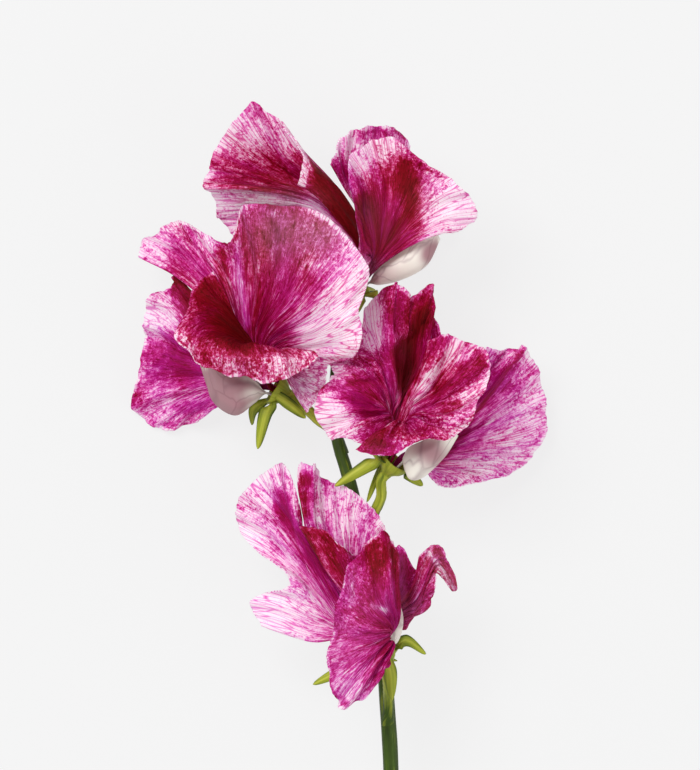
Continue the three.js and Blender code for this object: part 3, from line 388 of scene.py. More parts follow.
# The relief on every petal: its height, where it rises between claw (0) and margin (1), the longest and
# shortest way from crest to crest along the margin, and how far its lines sway across the petal
relief = {
    "frill": {"height": 0.25, "rise": (0.55, 1), "crests": (10, 5), "sway": 0},
    "crimp": {"height": 0.07, "rise": (0.75, 1), "crests": (3.5, 2), "sway": 0},
    "folds": {"height": 0.2, "rise": (0.1, 0.5), "crests": (13, 6), "sway": 0.02},
    "ridges": {"height": 0.045, "rise": (0.1, 0.4), "crests": (1.6, 1), "sway": 0},
}

# Each petal:
#   at is where it stands in the cup; ruffle, waves and phase are the wave along its margin
#   folds is the height of its own folds, where they differ from the others'
#   pigment, with what is added at margin and throat (there partly painted shade), and violet, the hue from 0
#   crimson to 1 violet
#   patches are x, y, radius, then more pigment, more violet, and more greying and painted shade
#   strokes are x, y and x, y of the ends, width, then the same three
#   bands are from and to across the petal, where along it they begin, then the same three
#   mottled is x, y, radius and how much more of the marbling there
#   creases are x, y and x, y of the ends, width and height
#   ribs are four points each from the cup out to the margin
flowerOneStandard = {
    "at": "behind", "ruffle": 0.8, "waves": 4, "phase": 0.1,
    "pigment": 0.72, "margin": -0.15, "throat": 0.45, "violet": 0.2,
    "patches": [
        # Painted shade: the first three patches darken the inside of the mouth behind the lip
        [-14, 94, 4, 0.1, -0.2, 0], [-20, 95, 4, 0.15, -0.1, 0], [-10, 96.5, 4, 0.1, -0.1, 0],
        [-18, 108, 3, 0, 0.3, 0], [-22, 103, 4, -0.12, 0.15, 0], [-16, 103, 4, -0.22, 0.1, 0],
        [-4.5, 89.5, 2.5, -0.3, 0.2, 0.2], [-10, 102, 3, -0.3, 0, 0], [2, 85, 4, 0.3, -0.2, 0],
        # Painted shade: these three grey and darken the tissue below the lip
        [-15, 89.6, 2.2, 0.15, -0.1, 0.7], [-10, 89.4, 2.4, 0.2, -0.1, 0.7], [-19, 90, 2, 0.1, 0, 0.5],
    ],
    "bands": [
        [-0.1, 0.2, 0.35, 0.5, -0.3, 0], [-0.1, 0.24, 0.86, -1, 0.3, 0.1],
        [0.75, 1.1, 0.35, -0.4, 0.2, 0.15],
    ],
    "creases": [[-9, 93.5, -17, 103, 1.2, -0.5], [-8.6, 95, -11.5, 102, 1, 0.3]],
    "ribs": [
        [[3.9, 80.2, 27.2], [-1.6, 87.6, 29.6], [-6, 91.8, 31.6], [-8.6, 93.2, 32.4]],
        [[4.8, 81, 27.2], [-0.3, 89.4, 29.9], [-4.9, 94.8, 32], [-7.3, 97.6, 32.8]],
        [[5.4, 81.5, 26], [0.6, 91.4, 28], [-5, 97.4, 29.6], [-8.2, 102.3, 30.6]],
        [[5.2, 81.4, 25], [-0.3, 91.8, 26], [-7.6, 99.3, 26.5], [-12, 104.2, 30]],
        [[5, 81.2, 24.3], [-2.3, 91.4, 24], [-11, 99, 24], [-16.8, 109.7, 31]],
        [[4.7, 81, 23.8], [-3, 91, 22.3], [-13, 97.5, 22], [-21, 106, 28]],
        [[4.4, 80.8, 23.4], [-3.5, 90.4, 21.5], [-15, 95.5, 20.5], [-24.6, 100, 25]],
        [[4.1, 80.6, 23.2], [-3.9, 89.8, 21.5], [-16, 93.6, 22], [-26.6, 95, 27]],
        [[3.8, 80.4, 23.2], [-4.2, 89.2, 23.5], [-17, 92.2, 30], [-27.3, 92.6, 30]],
        [[3.6, 80.2, 22.8], [-4.3, 88, 23], [-15, 89.8, 26.5], [-25, 89.6, 25]],
        [[3.4, 80, 22.4], [-4.2, 86.6, 21.5], [-14, 87, 22.5], [-24.2, 86.8, 21]],
        [[3.2, 79.8, 22], [-4, 85.2, 20], [-12, 83.5, 20], [-20, 82.4, 18]],
    ],
}
flowerOneWingNear = {
    "at": "near", "ruffle": 0.7, "waves": 3, "phase": 0.4,
    "pigment": 0.78, "margin": -0.25, "throat": 0.3, "violet": 0.25,
    "patches": [
        # Painted shade: the third and fourth patches make the dark purple hollow low on the wing
        [12, 94, 5, 0.1, -0.25, 0], [9, 100, 3, -0.25, 0, 0.1], [5.5, 88, 3, 0.9, 0.35, 0.2],
        [8.5, 83, 3.5, 0.7, 0.25, 0.1], [0.6, 97, 1.8, 0.1, 0.6, 0], [1.2, 92, 1.8, 0.15, 0.6, 0],
        [21, 89, 4.5, -0.65, 0, 0], [25, 87, 4, -0.6, 0, 0.15], [18, 84, 3.5, -0.25, 0.1, 0],
        [4, 99, 3, -0.4, 0.1, 0.1], [16, 96, 4, 0.1, -0.2, 0], [18, 90, 4, 0.05, 0, 0.2],
        [5, 76, 3, -0.1, 0.3, 0.5],
    ],
    "strokes": [[13, 96, 15.5, 85, 1.8, 0.25, -0.4, 0], [1, 99, 2.2, 89, 0.9, 0.2, 0.5, 0]],
    "mottled": [[22, 88, 5, 0.4], [10, 99, 5, 0.3]],
    "creases": [[7, 79, 4.5, 92, 1.6, -1.2], [8, 80, 10.5, 95, 1, 0.6], [9, 80, 16, 90, 1, -0.5]],
    "ribs": [
        [[5.9, 78.3, 30.4], [5.8, 77.4, 32], [5.4, 75.8, 32.4], [4.8, 74.2, 31.8]],
        [[6.2, 78.9, 30.9], [5.5, 79.2, 32.2], [4.6, 79.4, 32.4], [3.6, 79.6, 32]],
        [[6.6, 79.4, 31.3], [5.6, 82.2, 32.5], [4.6, 84.6, 33.4], [3.4, 86.6, 33.8]],
        [[6.9, 79.6, 31.5], [5.6, 86, 33], [3.6, 91.6, 35], [1.6, 95.4, 36.6]],
        [[7.2, 79.6, 31.6], [6.8, 87.6, 32], [5, 94.4, 34], [2.2, 98.6, 37.4]],
        [[7.6, 79.5, 31.7], [8.6, 89, 32.6], [7.4, 96, 34.6], [6.3, 100.9, 37.8]],
        [[7.9, 79.3, 31.8], [10.6, 89.2, 33.6], [11, 97, 35.4], [10.2, 102.4, 37.6]],
        [[8.2, 79, 31.9], [12.8, 88.2, 33], [15.5, 94.6, 35], [17, 97.8, 37]],
        [[8.4, 78.6, 32], [14.4, 86.4, 33.8], [19.4, 91.2, 36.6], [23, 93.2, 38]],
        [[8.6, 78.2, 32.1], [15.2, 84.2, 34.4], [21.6, 88, 36], [27.2, 89, 35]],
        [[8.7, 77.7, 32.1], [15, 82.2, 34.8], [21.4, 85.2, 35.6], [27, 86, 33]],
        [[8.8, 77.2, 32], [13.6, 80.4, 34.6], [18.6, 82.6, 35.8], [22.5, 84.2, 34.5]],
    ],
}
flowerOneWingFar = {
    "at": "far", "ruffle": 0.6, "waves": 3, "phase": 0.7,
    "pigment": 0.5, "margin": 0, "throat": 0.4, "violet": 0.35,
    "patches": [[7, 104, 3.5, 0.2, 0, 0], [1.5, 101, 3, -0.25, 0.1, 0], [0.5, 95, 3, 0.4, 0.3, 0]],
    "ribs": [
        [[7, 82, 20], [4, 88, 22], [1.2, 93, 27], [-0.9, 97, 31]],
        [[7.5, 83, 19], [4.4, 90, 22.5], [1, 97, 28], [0.9, 103.2, 30.5]],
        [[8, 83.2, 18.6], [6.4, 90.6, 22], [5, 98, 26.5], [5.4, 104.5, 28]],
        [[8.7, 83.5, 17.8], [9, 91, 18.5], [9.8, 98.4, 21.5], [10.2, 105, 23]],
        [[9.5, 83.5, 17], [12, 90, 11], [14, 95.5, 7], [15.5, 98.5, 4]],
        [[10.5, 83, 16], [15, 88.5, 9.5], [19.5, 92, 4], [22.5, 92, 0.7]],
        [[11, 82, 15.5], [16, 85.5, 9.5], [20.5, 87.5, 4.5], [24.5, 87, 1.6]],
        [[10.5, 81, 16], [14.5, 83, 11], [18, 84, 8], [21, 84, 5.5]],
    ],
}
flowerOneKeel = {
    "at": "front",
    "pigment": -0.05,
    "patches": [[19, 79, 3, 0.9, 0, 0], [5.5, 75, 3, 0.6, 0, 0]],
    "ribs": [
        [[8.5, 77.5, 27.5], [12, 80, 30.5], [16, 82.2, 30.5], [19.2, 84, 27.3]],
        [[8.5, 75.5, 28.5], [12.5, 77.3, 31.5], [16.5, 80, 31], [19.5, 83.3, 27]],
        [[8.5, 73.9, 27.5], [12.5, 75, 29.5], [16.8, 77.6, 29.5], [19.7, 82.7, 26.6]],
        [[8.2, 73, 25], [12.5, 74, 25.3], [17.3, 77, 25.3], [19.8, 82.5, 25.8]],
        [[8.5, 73.9, 22.5], [12.5, 75, 21.5], [16.8, 77.8, 21.6], [19.7, 82.7, 25]],
        [[8.5, 75.5, 21.3], [12.5, 77.5, 19.5], [16.5, 80.2, 20], [19.5, 83.3, 24.5]],
        [[8.5, 77, 21.6], [12, 79.5, 20.2], [16, 81.8, 20.5], [19.2, 84, 24.3]],
    ],
}
flowerOne = {
    "mouth": [4.3, 74, 23], "axis": [0.75, 0.62, 0.1], "back": [-0.62, 0.75, 0],
    "sepals": [
        {"bend": [7.2, 71.2, 24.6], "tip": [7.6, 69.4, 22.5], "width": 2, "faceUp": True},
        {"bend": [4.4, 69.8, 23.6], "tip": [3.6, 67.4, 20.5], "width": 1.8, "faceUp": True},
        {"bend": [1.2, 75.8, 25.6], "tip": [0.2, 79.2, 25.8], "width": 1.8},
        {"bend": [0.6, 76.2, 21.2], "tip": [-0.2, 78.8, 18.6], "width": 1.8},
        {"bend": [5.6, 72.2, 18.6], "tip": [7.4, 72, 15.4], "width": 1.8},
    ],
    "petals": {"standard": flowerOneStandard, "wing_near": flowerOneWingNear,
               "wing_far": flowerOneWingFar, "keel": flowerOneKeel},
}

flowerTwoStandard = {
    "at": "behind", "ruffle": 0.8, "waves": 5, "phase": 0.2,
    "pigment": 0.73, "margin": -0.12, "throat": 0.3, "violet": 0.25,
    "patches": [
        # Painted shade: the first two patches grey and darken the top of the standard
        [-12, 84, 6, 0.15, 0.1, 0.5], [-3, 83, 5, 0.05, 0.15, 0.45], [-28, 78, 4, -0.1, 0.15, 0],
        [-7, 69, 6, 0.1, 0.15, 0], [1, 68, 5.5, -0.68, 0, 0], [3, 76, 4.5, -0.5, 0, 0],
        [-1, 62, 5, -0.72, -0.1, 0], [-6, 64, 4, -0.45, 0.1, 0], [-15, 65, 5, 0.2, 0, 0],
        [-18, 80, 4, 0.08, -0.15, 0], [-24, 75, 4, -0.1, 0.15, 0], [-37, 82, 4.5, -0.35, 0.45, 0],
        [-30, 80, 5, 0.1, 0.05, 0], [-26, 82.5, 2.5, -0.4, 0, 0], [-7, 52, 4, -0.4, 0, 0.6],
    ],
    "strokes": [[-18.4, 65, -20.4, 81, 0.8, 0.05, 0.6, 0], [-23, 70, -23.5, 80, 1.2, 0.15, -0.4, 0]],
    "creases": [
        [-17.8, 62, -20.3, 80, 0.9, 0.7], [-16.5, 63, -14, 78, 1.2, -0.4], [-15, 62, -6, 76, 1.2, 0.4],
        [-14, 61, 0, 70, 1.2, -0.4], [-20, 66, -28, 78, 1, -0.5],
    ],
    "ribs": [
        [[-18.2, 58.8, 25.2], [-25, 68, 24], [-33, 74.8, 19], [-40.5, 78.5, 13]],
        [[-18.6, 59.8, 25.4], [-25, 71, 23], [-33, 79.5, 17], [-38.8, 83, 10]],
        [[-18.7, 60.8, 25.6], [-24.5, 73, 22.5], [-30, 81, 18], [-33.5, 86.2, 12]],
        [[-18.5, 61.7, 25.8], [-22.5, 74, 24], [-26, 80, 22], [-28, 84.6, 20]],
        [[-17.9, 62.2, 26], [-20.3, 72, 27], [-21, 78, 28], [-22, 81.4, 29]],
        [[-17.3, 62, 26.5], [-18, 73, 30], [-18.5, 81, 33], [-19.6, 88.6, 34]],
        [[-16.8, 62, 27], [-14.5, 72, 33], [-13, 81, 37.5], [-12, 88.8, 39]],
        [[-16, 61.6, 27], [-10, 72, 36], [-7, 80, 41], [-4.5, 87.6, 42]],
        [[-15, 61.2, 27], [-7, 69, 38], [-1, 76, 43.5], [3, 81, 44]],
        [[-14, 60.8, 27], [-5, 66, 38.5], [1, 70.5, 44], [5.9, 75.3, 43]],
        [[-13, 60, 26.5], [-5, 62.8, 37.5], [0, 65, 43], [4, 67.5, 44]],
        [[-12, 58.8, 26], [-5.5, 60, 34.5], [0, 60.2, 39], [4.4, 60.1, 41]],
        [[-11.8, 58, 26], [-8, 57.8, 30.5], [-4.5, 57.6, 32.5], [-1.6, 57.4, 33]],
        [[-11.4, 57, 26.4], [-8.6, 54.4, 30], [-5.5, 52.7, 31.5], [-3.2, 51.6, 31.5]],
        [[-11.8, 56.6, 27], [-9.6, 52.6, 29.8], [-7.6, 49.4, 30.5], [-6.3, 47.4, 30.5]],
    ],
}
flowerTwoWingNear = {
    "at": "near", "ruffle": 0.5, "waves": 4, "phase": 0.3,
    "pigment": 0.78, "margin": -0.16, "throat": 0.55, "violet": 0.05,
    "patches": [
        # Painted shade: the first three patches deepen the hollow of the wing toward dark crimson
        [-22, 66, 4, 0.65, -0.2, 0], [-19, 63, 3, 0.65, -0.2, 0], [-26, 72, 3.5, 0.4, -0.2, 0],
        [-30, 62, 3, -0.1, 0, 0], [-20, 56, 4, -0.1, -0.1, 0.1], [-10, 56, 4.5, -0.2, -0.1, 0.1],
        [-25, 59, 3, 0.1, -0.2, 0],
    ],
    "mottled": [[-28, 59, 4, 0.5], [-20, 55, 5, 0.5], [-11, 55, 5, 0.5]],
    "creases": [
        [-20, 60, -17, 54, 0.9, -0.4], [-26, 61, -24, 56.5, 0.9, 0.3], [-14, 59, -12, 54, 0.9, 0.3],
    ],
    "ribs": [
        [[-13, 57.5, 31], [-8.5, 59.4, 36.5], [-5, 59.2, 39.4], [-4, 58.2, 40]],
        [[-14, 58.2, 31.5], [-11, 60.2, 38.5], [-8.6, 58.6, 41.5], [-7.6, 55.4, 41]],
        [[-15, 58.6, 31.8], [-14.5, 60.6, 39.5], [-13.2, 58.2, 43.2], [-12.6, 53.6, 42]],
        [[-16, 59, 31.8], [-18, 61.2, 40], [-17.6, 58.5, 44.5], [-17.2, 53.8, 42.5]],
        [[-17, 59.5, 31.3], [-22, 62, 40], [-22.8, 59.5, 44.8], [-22.6, 55.2, 42.8]],
        [[-17.5, 60, 30.8], [-25.5, 63, 38.5], [-27.8, 60.6, 42.5], [-28.4, 57.9, 41.5]],
        [[-17.8, 60.6, 30.3], [-26, 65.5, 36], [-30, 64.3, 40], [-32.4, 62.2, 39.5]],
        [[-18, 61.2, 29.8], [-24.5, 67.5, 33.5], [-28, 68.2, 36.5], [-30.4, 68, 38]],
        [[-17.9, 61.7, 29.2], [-21.8, 67.6, 31], [-25.6, 71.3, 33.6], [-27.7, 73.8, 34.8]],
        [[-17.3, 61.6, 28.6], [-20.1, 65, 29.2], [-22.4, 69.8, 31], [-25.6, 75.4, 33]],
    ],
}
flowerTwoWingFar = {
    "at": "far", "ruffle": 0.7, "waves": 4, "phase": 0.6,
    "pigment": 0.74, "margin": -0.14, "throat": 0.3, "violet": 0.62,
    "patches": [
        [-37, 67, 4, -0.7, 0, 0.2], [-33, 59, 5, 0.25, 0, 0], [-31, 54, 3, 0.2, 0, 0],
        # Painted shade: the first two patches deepen the folded inner part of the wing to dark red
        [-29, 70, 3.5, 0.6, -0.6, 0], [-32, 75, 2.5, 0.8, -0.6, 0], [-37, 48, 5, -0.15, 0.1, 0],
        [-41, 51, 2, 0.2, -0.4, 0], [-28, 52, 4, -0.1, 0.3, 0],
    ],
    "creases": [[-27, 56, -39, 60, 1.2, -0.5], [-28, 54, -39, 50, 1.2, 0.5], [-28, 60, -36, 69, 1.2, 0.5]],
    "ribs": [
        [[-22, 62, 19], [-27, 69, 18.5], [-30.5, 73, 17], [-32.5, 75.8, 15.5]],
        [[-23, 61, 17.5], [-28, 66, 16.5], [-31.5, 70, 15], [-33.8, 73.6, 14]],
        [[-24, 59.5, 16], [-30, 64, 14.5], [-35, 69, 13.5], [-38.3, 70.6, 13]],
        [[-24.5, 57.5, 14], [-31, 60.5, 13], [-36, 63.5, 12], [-39.7, 64.5, 11]],
        [[-24.5, 55.5, 13], [-31, 56.5, 11.5], [-36, 57.3, 10], [-40, 57.5, 8]],
        [[-24, 53.8, 12], [-30.5, 53, 9.5], [-36.5, 51, 6.5], [-42.1, 47.9, 2.5]],
        [[-23, 52.3, 12], [-28.5, 50.2, 8.5], [-33.5, 47.2, 4.5], [-37.3, 44.6, 1.2]],
        [[-21.5, 51.3, 13], [-26, 49.3, 9.5], [-29.5, 47.3, 6], [-32, 44.3, 2.5]],
        [[-20, 50.8, 14.5], [-22.5, 49.8, 12.5], [-24.5, 48.6, 10.5], [-26.5, 47.4, 9]],
    ],
}
flowerTwoKeel = {
    "at": "front",
    "pigment": 0.65,
    "patches": [[-16, 51, 4, -0.5, 0, 0], [-25, 54, 4, 0.3, 0, 0]],
    "ribs": [
        [[-17.5, 54.8, 26.5], [-20.5, 56, 29], [-24, 57.5, 29], [-26.3, 58.6, 26]],
        [[-17.5, 52.5, 27.8], [-20.8, 52.5, 30.6], [-24.3, 53.5, 30], [-26.8, 57.6, 25.8]],
        [[-16.9, 50.2, 26.3], [-20.5, 48.6, 28.3], [-24.8, 50.5, 27.8], [-27.1, 56.8, 25.3]],
        [[-16.9, 49.4, 23.5], [-20.8, 46.9, 24], [-25.5, 49.8, 24], [-27.2, 56.6, 24.6]],
        [[-16.9, 50.2, 21], [-20.5, 48.6, 19.9], [-24.8, 50.8, 20.5], [-27.1, 56.8, 23.8]],
        [[-17.5, 52.5, 19.7], [-20.8, 52.5, 17.9], [-24.3, 53.5, 18.9], [-26.8, 57.6, 23.3]],
        [[-17.5, 54.6, 20.4], [-20.5, 55.8, 19], [-24, 57.2, 19.8], [-26.3, 58.6, 23.1]],
    ],
}
flowerTwo = {
    "mouth": [-13.2, 52.4, 23.5], "axis": [-0.9, 0.42, 0.12], "back": [0.42, 0.9, 0],
    "sepals": [
        {"bend": [-14.6, 47.6, 25.6], "tip": [-16.3, 40.2, 24], "width": 3.1, "faceUp": True},
        {"bend": [-17, 48.2, 20.2], "tip": [-17.6, 45, 17.8], "width": 2.2, "faceUp": True},
        {"bend": [-9.2, 48.6, 26.8], "tip": [-6.7, 46.4, 25.6], "width": 2.4, "faceUp": True},
        {"bend": [-9.6, 55.6, 20.4], "tip": [-7.4, 57.4, 18.4], "width": 2},
        {"bend": [-13.2, 50.4, 18.2], "tip": [-13, 48.6, 14.6], "width": 2},
    ],
    "petals": {"standard": flowerTwoStandard, "wing_near": flowerTwoWingNear,
               "wing_far": flowerTwoWingFar, "keel": flowerTwoKeel},
}

flowerThreeStandard = {
    "at": "behind", "ruffle": 0.6, "waves": 4, "phase": 0.1,
    "pigment": 0.52, "margin": -0.05, "throat": 0.3, "violet": 0.6,
    "patches": [
        [31, 54, 5, 0.3, 0.2, 0], [24, 43, 4, 0.25, 0.15, 0], [36, 42, 3.5, -0.25, 0, 0],
        [27, 35, 3, -0.15, -0.3, 0.1], [39, 50, 3, -0.2, 0, 0], [30, 37, 3.5, -0.15, 0, 0],
    ],
    "strokes": [[37.3, 60.5, 26, 45.5, 0.5, 0.3, -0.2, 0.05], [26, 44, 20, 37, 0.7, 0.3, 0, 0.1]],
    "mottled": [[38, 55, 4, 0.4], [28, 36, 4, 0.5]],
    "creases": [
        [37, 60, 24.5, 43, 0.9, -0.9], [27, 46, 20, 37.3, 0.9, -0.9], [27, 44, 40, 50, 1, 0.35],
        [25, 41, 38, 42, 1, -0.35], [24, 39, 33, 35.5, 1, 0.35],
    ],
    "ribs": [
        [[17.5, 41.5, 21], [22, 48.5, 19], [26.5, 55, 18], [29.5, 60.3, 20]],
        [[18, 41, 20], [24, 48, 16], [29.5, 55, 13.5], [34, 60.5, 13]],
        [[18.3, 40.5, 20], [25.5, 46.5, 18], [32, 54, 17], [37, 61, 16]],
        [[18.6, 40, 19.5], [27, 45.5, 15], [34.5, 51.5, 12], [39.6, 57, 9.5]],
        [[18.8, 39.3, 19], [27.5, 43.5, 14.5], [35.5, 48, 10.5], [42, 50.5, 6.5]],
        [[19, 38.7, 19], [27.5, 41, 14], [35.5, 43, 10], [42, 45.5, 5.5]],
        [[18.8, 38, 19], [27, 38.8, 14], [34, 39, 10.5], [39.5, 38.8, 7]],
        [[18.3, 37.2, 19.5], [25.5, 36.8, 15.5], [31, 36, 13], [34.5, 34.8, 10.5]],
        [[17.5, 36.6, 20], [22.5, 35.5, 17.5], [26.5, 34.6, 16], [28, 33.5, 15]],
        [[16.8, 36.4, 20.5], [19.4, 35.2, 19], [21, 33.8, 18.5], [21.5, 32.1, 18]],
        [[15.8, 36.3, 21.6], [17, 35.9, 20.8], [17.8, 35.2, 20.2], [18.3, 34.4, 19.8]],
    ],
}
flowerThreeWingNear = {
    "at": "front", "ruffle": 0.5, "waves": 6, "phase": 0.2, "folds": 0.4,
    "pigment": 0.8, "margin": -0.15, "throat": 0.05, "violet": 0.15,
    "patches": [
        [12.5, 42, 3, -0.1, 0, 0], [7, 40.5, 3, 0.35, 0.25, 0.1], [26.5, 49, 3, -0.3, 0, 0.1],
        [23, 45.5, 3, -0.12, 0, 0],
    ],
    "strokes": [
        [17.5, 53, 23.6, 61.5, 1.1, -0.5, 0, 0], [16, 54, 20, 62.5, 1, 0.2, -0.1, 0],
        [19.5, 50, 28, 57.5, 1.1, 0.25, -0.1, 0], [22, 55.5, 25.5, 59.5, 1.2, -0.2, 0, 0],
        [24.5, 50.5, 29.5, 54, 0.9, -0.4, 0, 0],
    ],
    "mottled": [[6, 43, 4, 0.8], [12, 43, 4, 1], [18, 43.5, 4, 1], [24, 44.5, 4, 0.8], [26, 49, 4, 0.5]],
    "creases": [
        [14.5, 46, 20.5, 63, 1, 1.3], [17, 49, 23.5, 61, 1.3, -0.9], [18, 47, 27.5, 58, 1, 0.8],
        [19, 46, 29, 53, 1, -0.7], [14, 45.3, 26, 46.2, 0.9, 0.6], [5, 42.2, 13, 40.2, 0.7, -0.7],
    ],
    "ribs": [
        [[12.6, 48, 30.4], [15.2, 54, 32.4], [17, 58.5, 34.6], [18.1, 62.3, 36.8]],
        [[13.3, 47.8, 31.2], [17.2, 53, 34.8], [20, 58, 38], [21.6, 63, 40]],
        [[14.2, 47.4, 32], [18.5, 52, 35], [22.5, 57, 37], [25.5, 61.6, 38]],
        [[14.4, 47, 32.5], [19.5, 50.5, 37], [25, 55.5, 40.5], [29.2, 60.2, 41]],
        [[14.5, 46.6, 33], [19.5, 49, 37], [25, 52, 40], [30, 55.3, 40]],
        [[14.5, 46.2, 33.5], [19.5, 47.2, 38.5], [24, 48.5, 42], [27.8, 50.5, 42]],
        [[14.3, 45.8, 34], [19, 45.6, 39.5], [23, 45.5, 43], [26.3, 45.8, 42.5]],
        [[13.9, 45.5, 34.5], [17.5, 44.5, 40], [20.5, 43.8, 43.5], [22.6, 42.6, 43]],
        [[13.3, 45.3, 34.5], [15.5, 43.8, 40], [16.8, 43, 43], [17.5, 42.1, 43]],
        [[12.7, 45.2, 34.5], [12.8, 43.5, 40.5], [12.9, 41.8, 43], [13, 40.4, 42.8]],
        [[12.1, 45.3, 34.3], [10.2, 43.2, 40.5], [9.2, 40.8, 43], [8.8, 38.6, 42.5]],
        [[11.6, 45.6, 34], [8, 44, 39.5], [5.5, 42, 42], [3.4, 40.2, 41.5]],
    ],
}
flowerThreeWingFar = {
    "at": "far", "ruffle": 0.5, "waves": 6, "phase": 0.6, "folds": 0.4,
    "pigment": 0.82, "margin": -0.12, "throat": 0.2, "violet": 0.28,
    "patches": [
        [11.5, 42.5, 3, 0.2, -0.1, 0], [-3.5, 47, 4, -0.95, 0, 0], [0.5, 45, 3, -0.5, 0, 0],
        [4, 51, 3, 0.15, 0.25, 0], [6, 67, 3, -1, 0, 0.1], [6.5, 62.5, 2.5, -0.7, 0, 0],
        [-1, 57, 3.5, -0.3, 0.1, 0.2], [12, 67, 4, 0.3, 0.1, 0], [17, 67, 3.5, 0.35, -0.1, 0],
        [14, 56, 3.5, 0.6, 0, 0],
    ],
    "strokes": [
        [13, 47, 13.8, 60, 1.5, 0.15, 0, 0.1], [12, 60, 17.4, 67, 1.5, 0.15, -0.2, 0.05],
        [10, 52, 9.4, 60, 0.7, -0.1, 0.1, 0],
    ],
    "mottled": [[5, 58, 4, 0.7], [9, 58, 3, 0.5], [13, 69, 4, 0.5], [4, 44, 3.5, 0.6], [17, 69, 3, 0.5]],
    "creases": [
        [11.6, 46, 9.8, 61, 1.1, 1.2], [13, 45, 14, 62, 1.4, -1.5], [15, 47, 16.4, 61, 0.9, 0.7],
        [9.5, 59.5, 17.5, 70.5, 0.9, 0.9], [12.5, 60, 18.5, 67, 1.3, -0.7], [8, 47, 1, 51, 1, -0.5],
        # The last two creases here are the drape's lip, paler on it and darker beneath it: painted light and
        # shade
        [8, 46, 0, 46, 1, 0.4], [0, 55.8, 10.5, 56.2, 0.8, 0.6], [0, 53.6, 10.5, 53.8, 0.9, -0.8],
    ],
    "ribs": [
        [[10.6, 45.2, 30.4], [9.4, 43, 33], [8.4, 41.2, 35.2], [7.6, 40, 36.2]],
        [[10.2, 45.9, 30.5], [7.7, 44.5, 33.6], [5.5, 43, 36], [3.2, 41.8, 36.8]],
        [[9.9, 46.6, 30.2], [6.5, 46, 33], [2.4, 44.1, 35.2], [-1.6, 42.3, 34]],
        [[9.8, 46.9, 29.9], [5.5, 48, 32.5], [0.5, 47.5, 34.5], [-5, 47.2, 33]],
        [[9.7, 47.2, 29.6], [5.5, 50, 32.5], [1, 52, 34], [-2.5, 53.6, 32]],
        [[9.7, 47.6, 29.2], [7, 52.5, 32.5], [3.4, 55.2, 33.6], [-1.3, 55.4, 31.6]],
        [[9.8, 47.9, 29], [7.5, 54, 32.6], [3, 57.4, 32.4], [-2.2, 58.2, 29.6]],
        [[10.1, 48.2, 28.6], [8.4, 55, 32.8], [5.6, 58.8, 33], [2.4, 60.1, 31.4]],
        [[10.4, 48.4, 28.4], [9.3, 56, 32], [7.3, 62.5, 30.5], [6.2, 68.8, 27]],
        [[10.8, 48.6, 28.2], [11, 57, 31.5], [10.8, 65, 35], [11.3, 73.4, 37]],
        [[11.2, 48.7, 28], [13, 57, 26.5], [13.2, 64, 30], [14.2, 71, 33]],
        [[11.6, 48.8, 27.8], [15, 57, 27.5], [16.3, 65, 32], [18.7, 73, 36]],
        [[12, 48.8, 27.6], [16.5, 56, 27.5], [17.8, 61, 29.6], [18.8, 67, 32.4]],
        [[12.4, 48.6, 27.4], [17.2, 54.2, 27.2], [19.6, 58, 28.6], [21.4, 61.6, 30.6]],
    ],
}
flowerThreeKeel = {
    "at": "near",
    "pigment": 0.1,
    "patches": [[18.5, 39.5, 3.5, 0.75, 0, 0], [12, 36, 3, -0.3, 0, 0]],
    "ribs": [
        [[13.8, 40.4, 33.3], [16.4, 41.8, 34.8], [19.7, 43, 34], [22.8, 43.8, 31.2]],
        [[13.1, 38.5, 34], [15.3, 38.3, 35.4], [19.8, 41.2, 34.6], [23.1, 43.5, 30.8]],
        [[13.1, 36.5, 33.2], [14.1, 34.6, 33.6], [19.6, 38.4, 33.4], [23.3, 43.2, 30.3]],
        [[13.8, 35.4, 31], [15.8, 34.4, 30.6], [20.8, 38.8, 30], [23.4, 43, 29.7]],
        [[14.6, 36.4, 28.8], [17.4, 37, 27.4], [21, 40.4, 27.2], [23.3, 43.2, 29.1]],
        [[14.9, 37.8, 27.6], [17.5, 39.8, 26.2], [20.4, 42.2, 26], [23.1, 43.6, 28.5]],
        [[14.8, 39.6, 27.8], [17, 41.8, 26.4], [20, 43.4, 26.2], [22.8, 44.2, 28.1]],
    ],
}
flowerThree = {
    "mouth": [11.2, 38, 28.5], "axis": [0.55, 0.8, 0.25], "back": [0.5, -0.1, -0.85],
    "sepals": [
        {"bend": [5.2, 36.6, 29], "tip": [-0.8, 32.8, 28], "width": 2.9, "faceUp": True},
        {"bend": [13.8, 35.2, 24.4], "tip": [16.8, 32.8, 22], "width": 2.6, "faceUp": True},
        {"bend": [7, 33.6, 26], "tip": [5.6, 29.6, 24.8], "width": 1.8},
        {"bend": [9.6, 36.2, 23.2], "tip": [9.2, 33.6, 20], "width": 2},
        {"bend": [7.4, 38.6, 32.2], "tip": [6, 40.6, 34.6], "width": 2},
    ],
    "petals": {"standard": flowerThreeStandard, "wing_near": flowerThreeWingNear,
               "wing_far": flowerThreeWingFar, "keel": flowerThreeKeel},
}

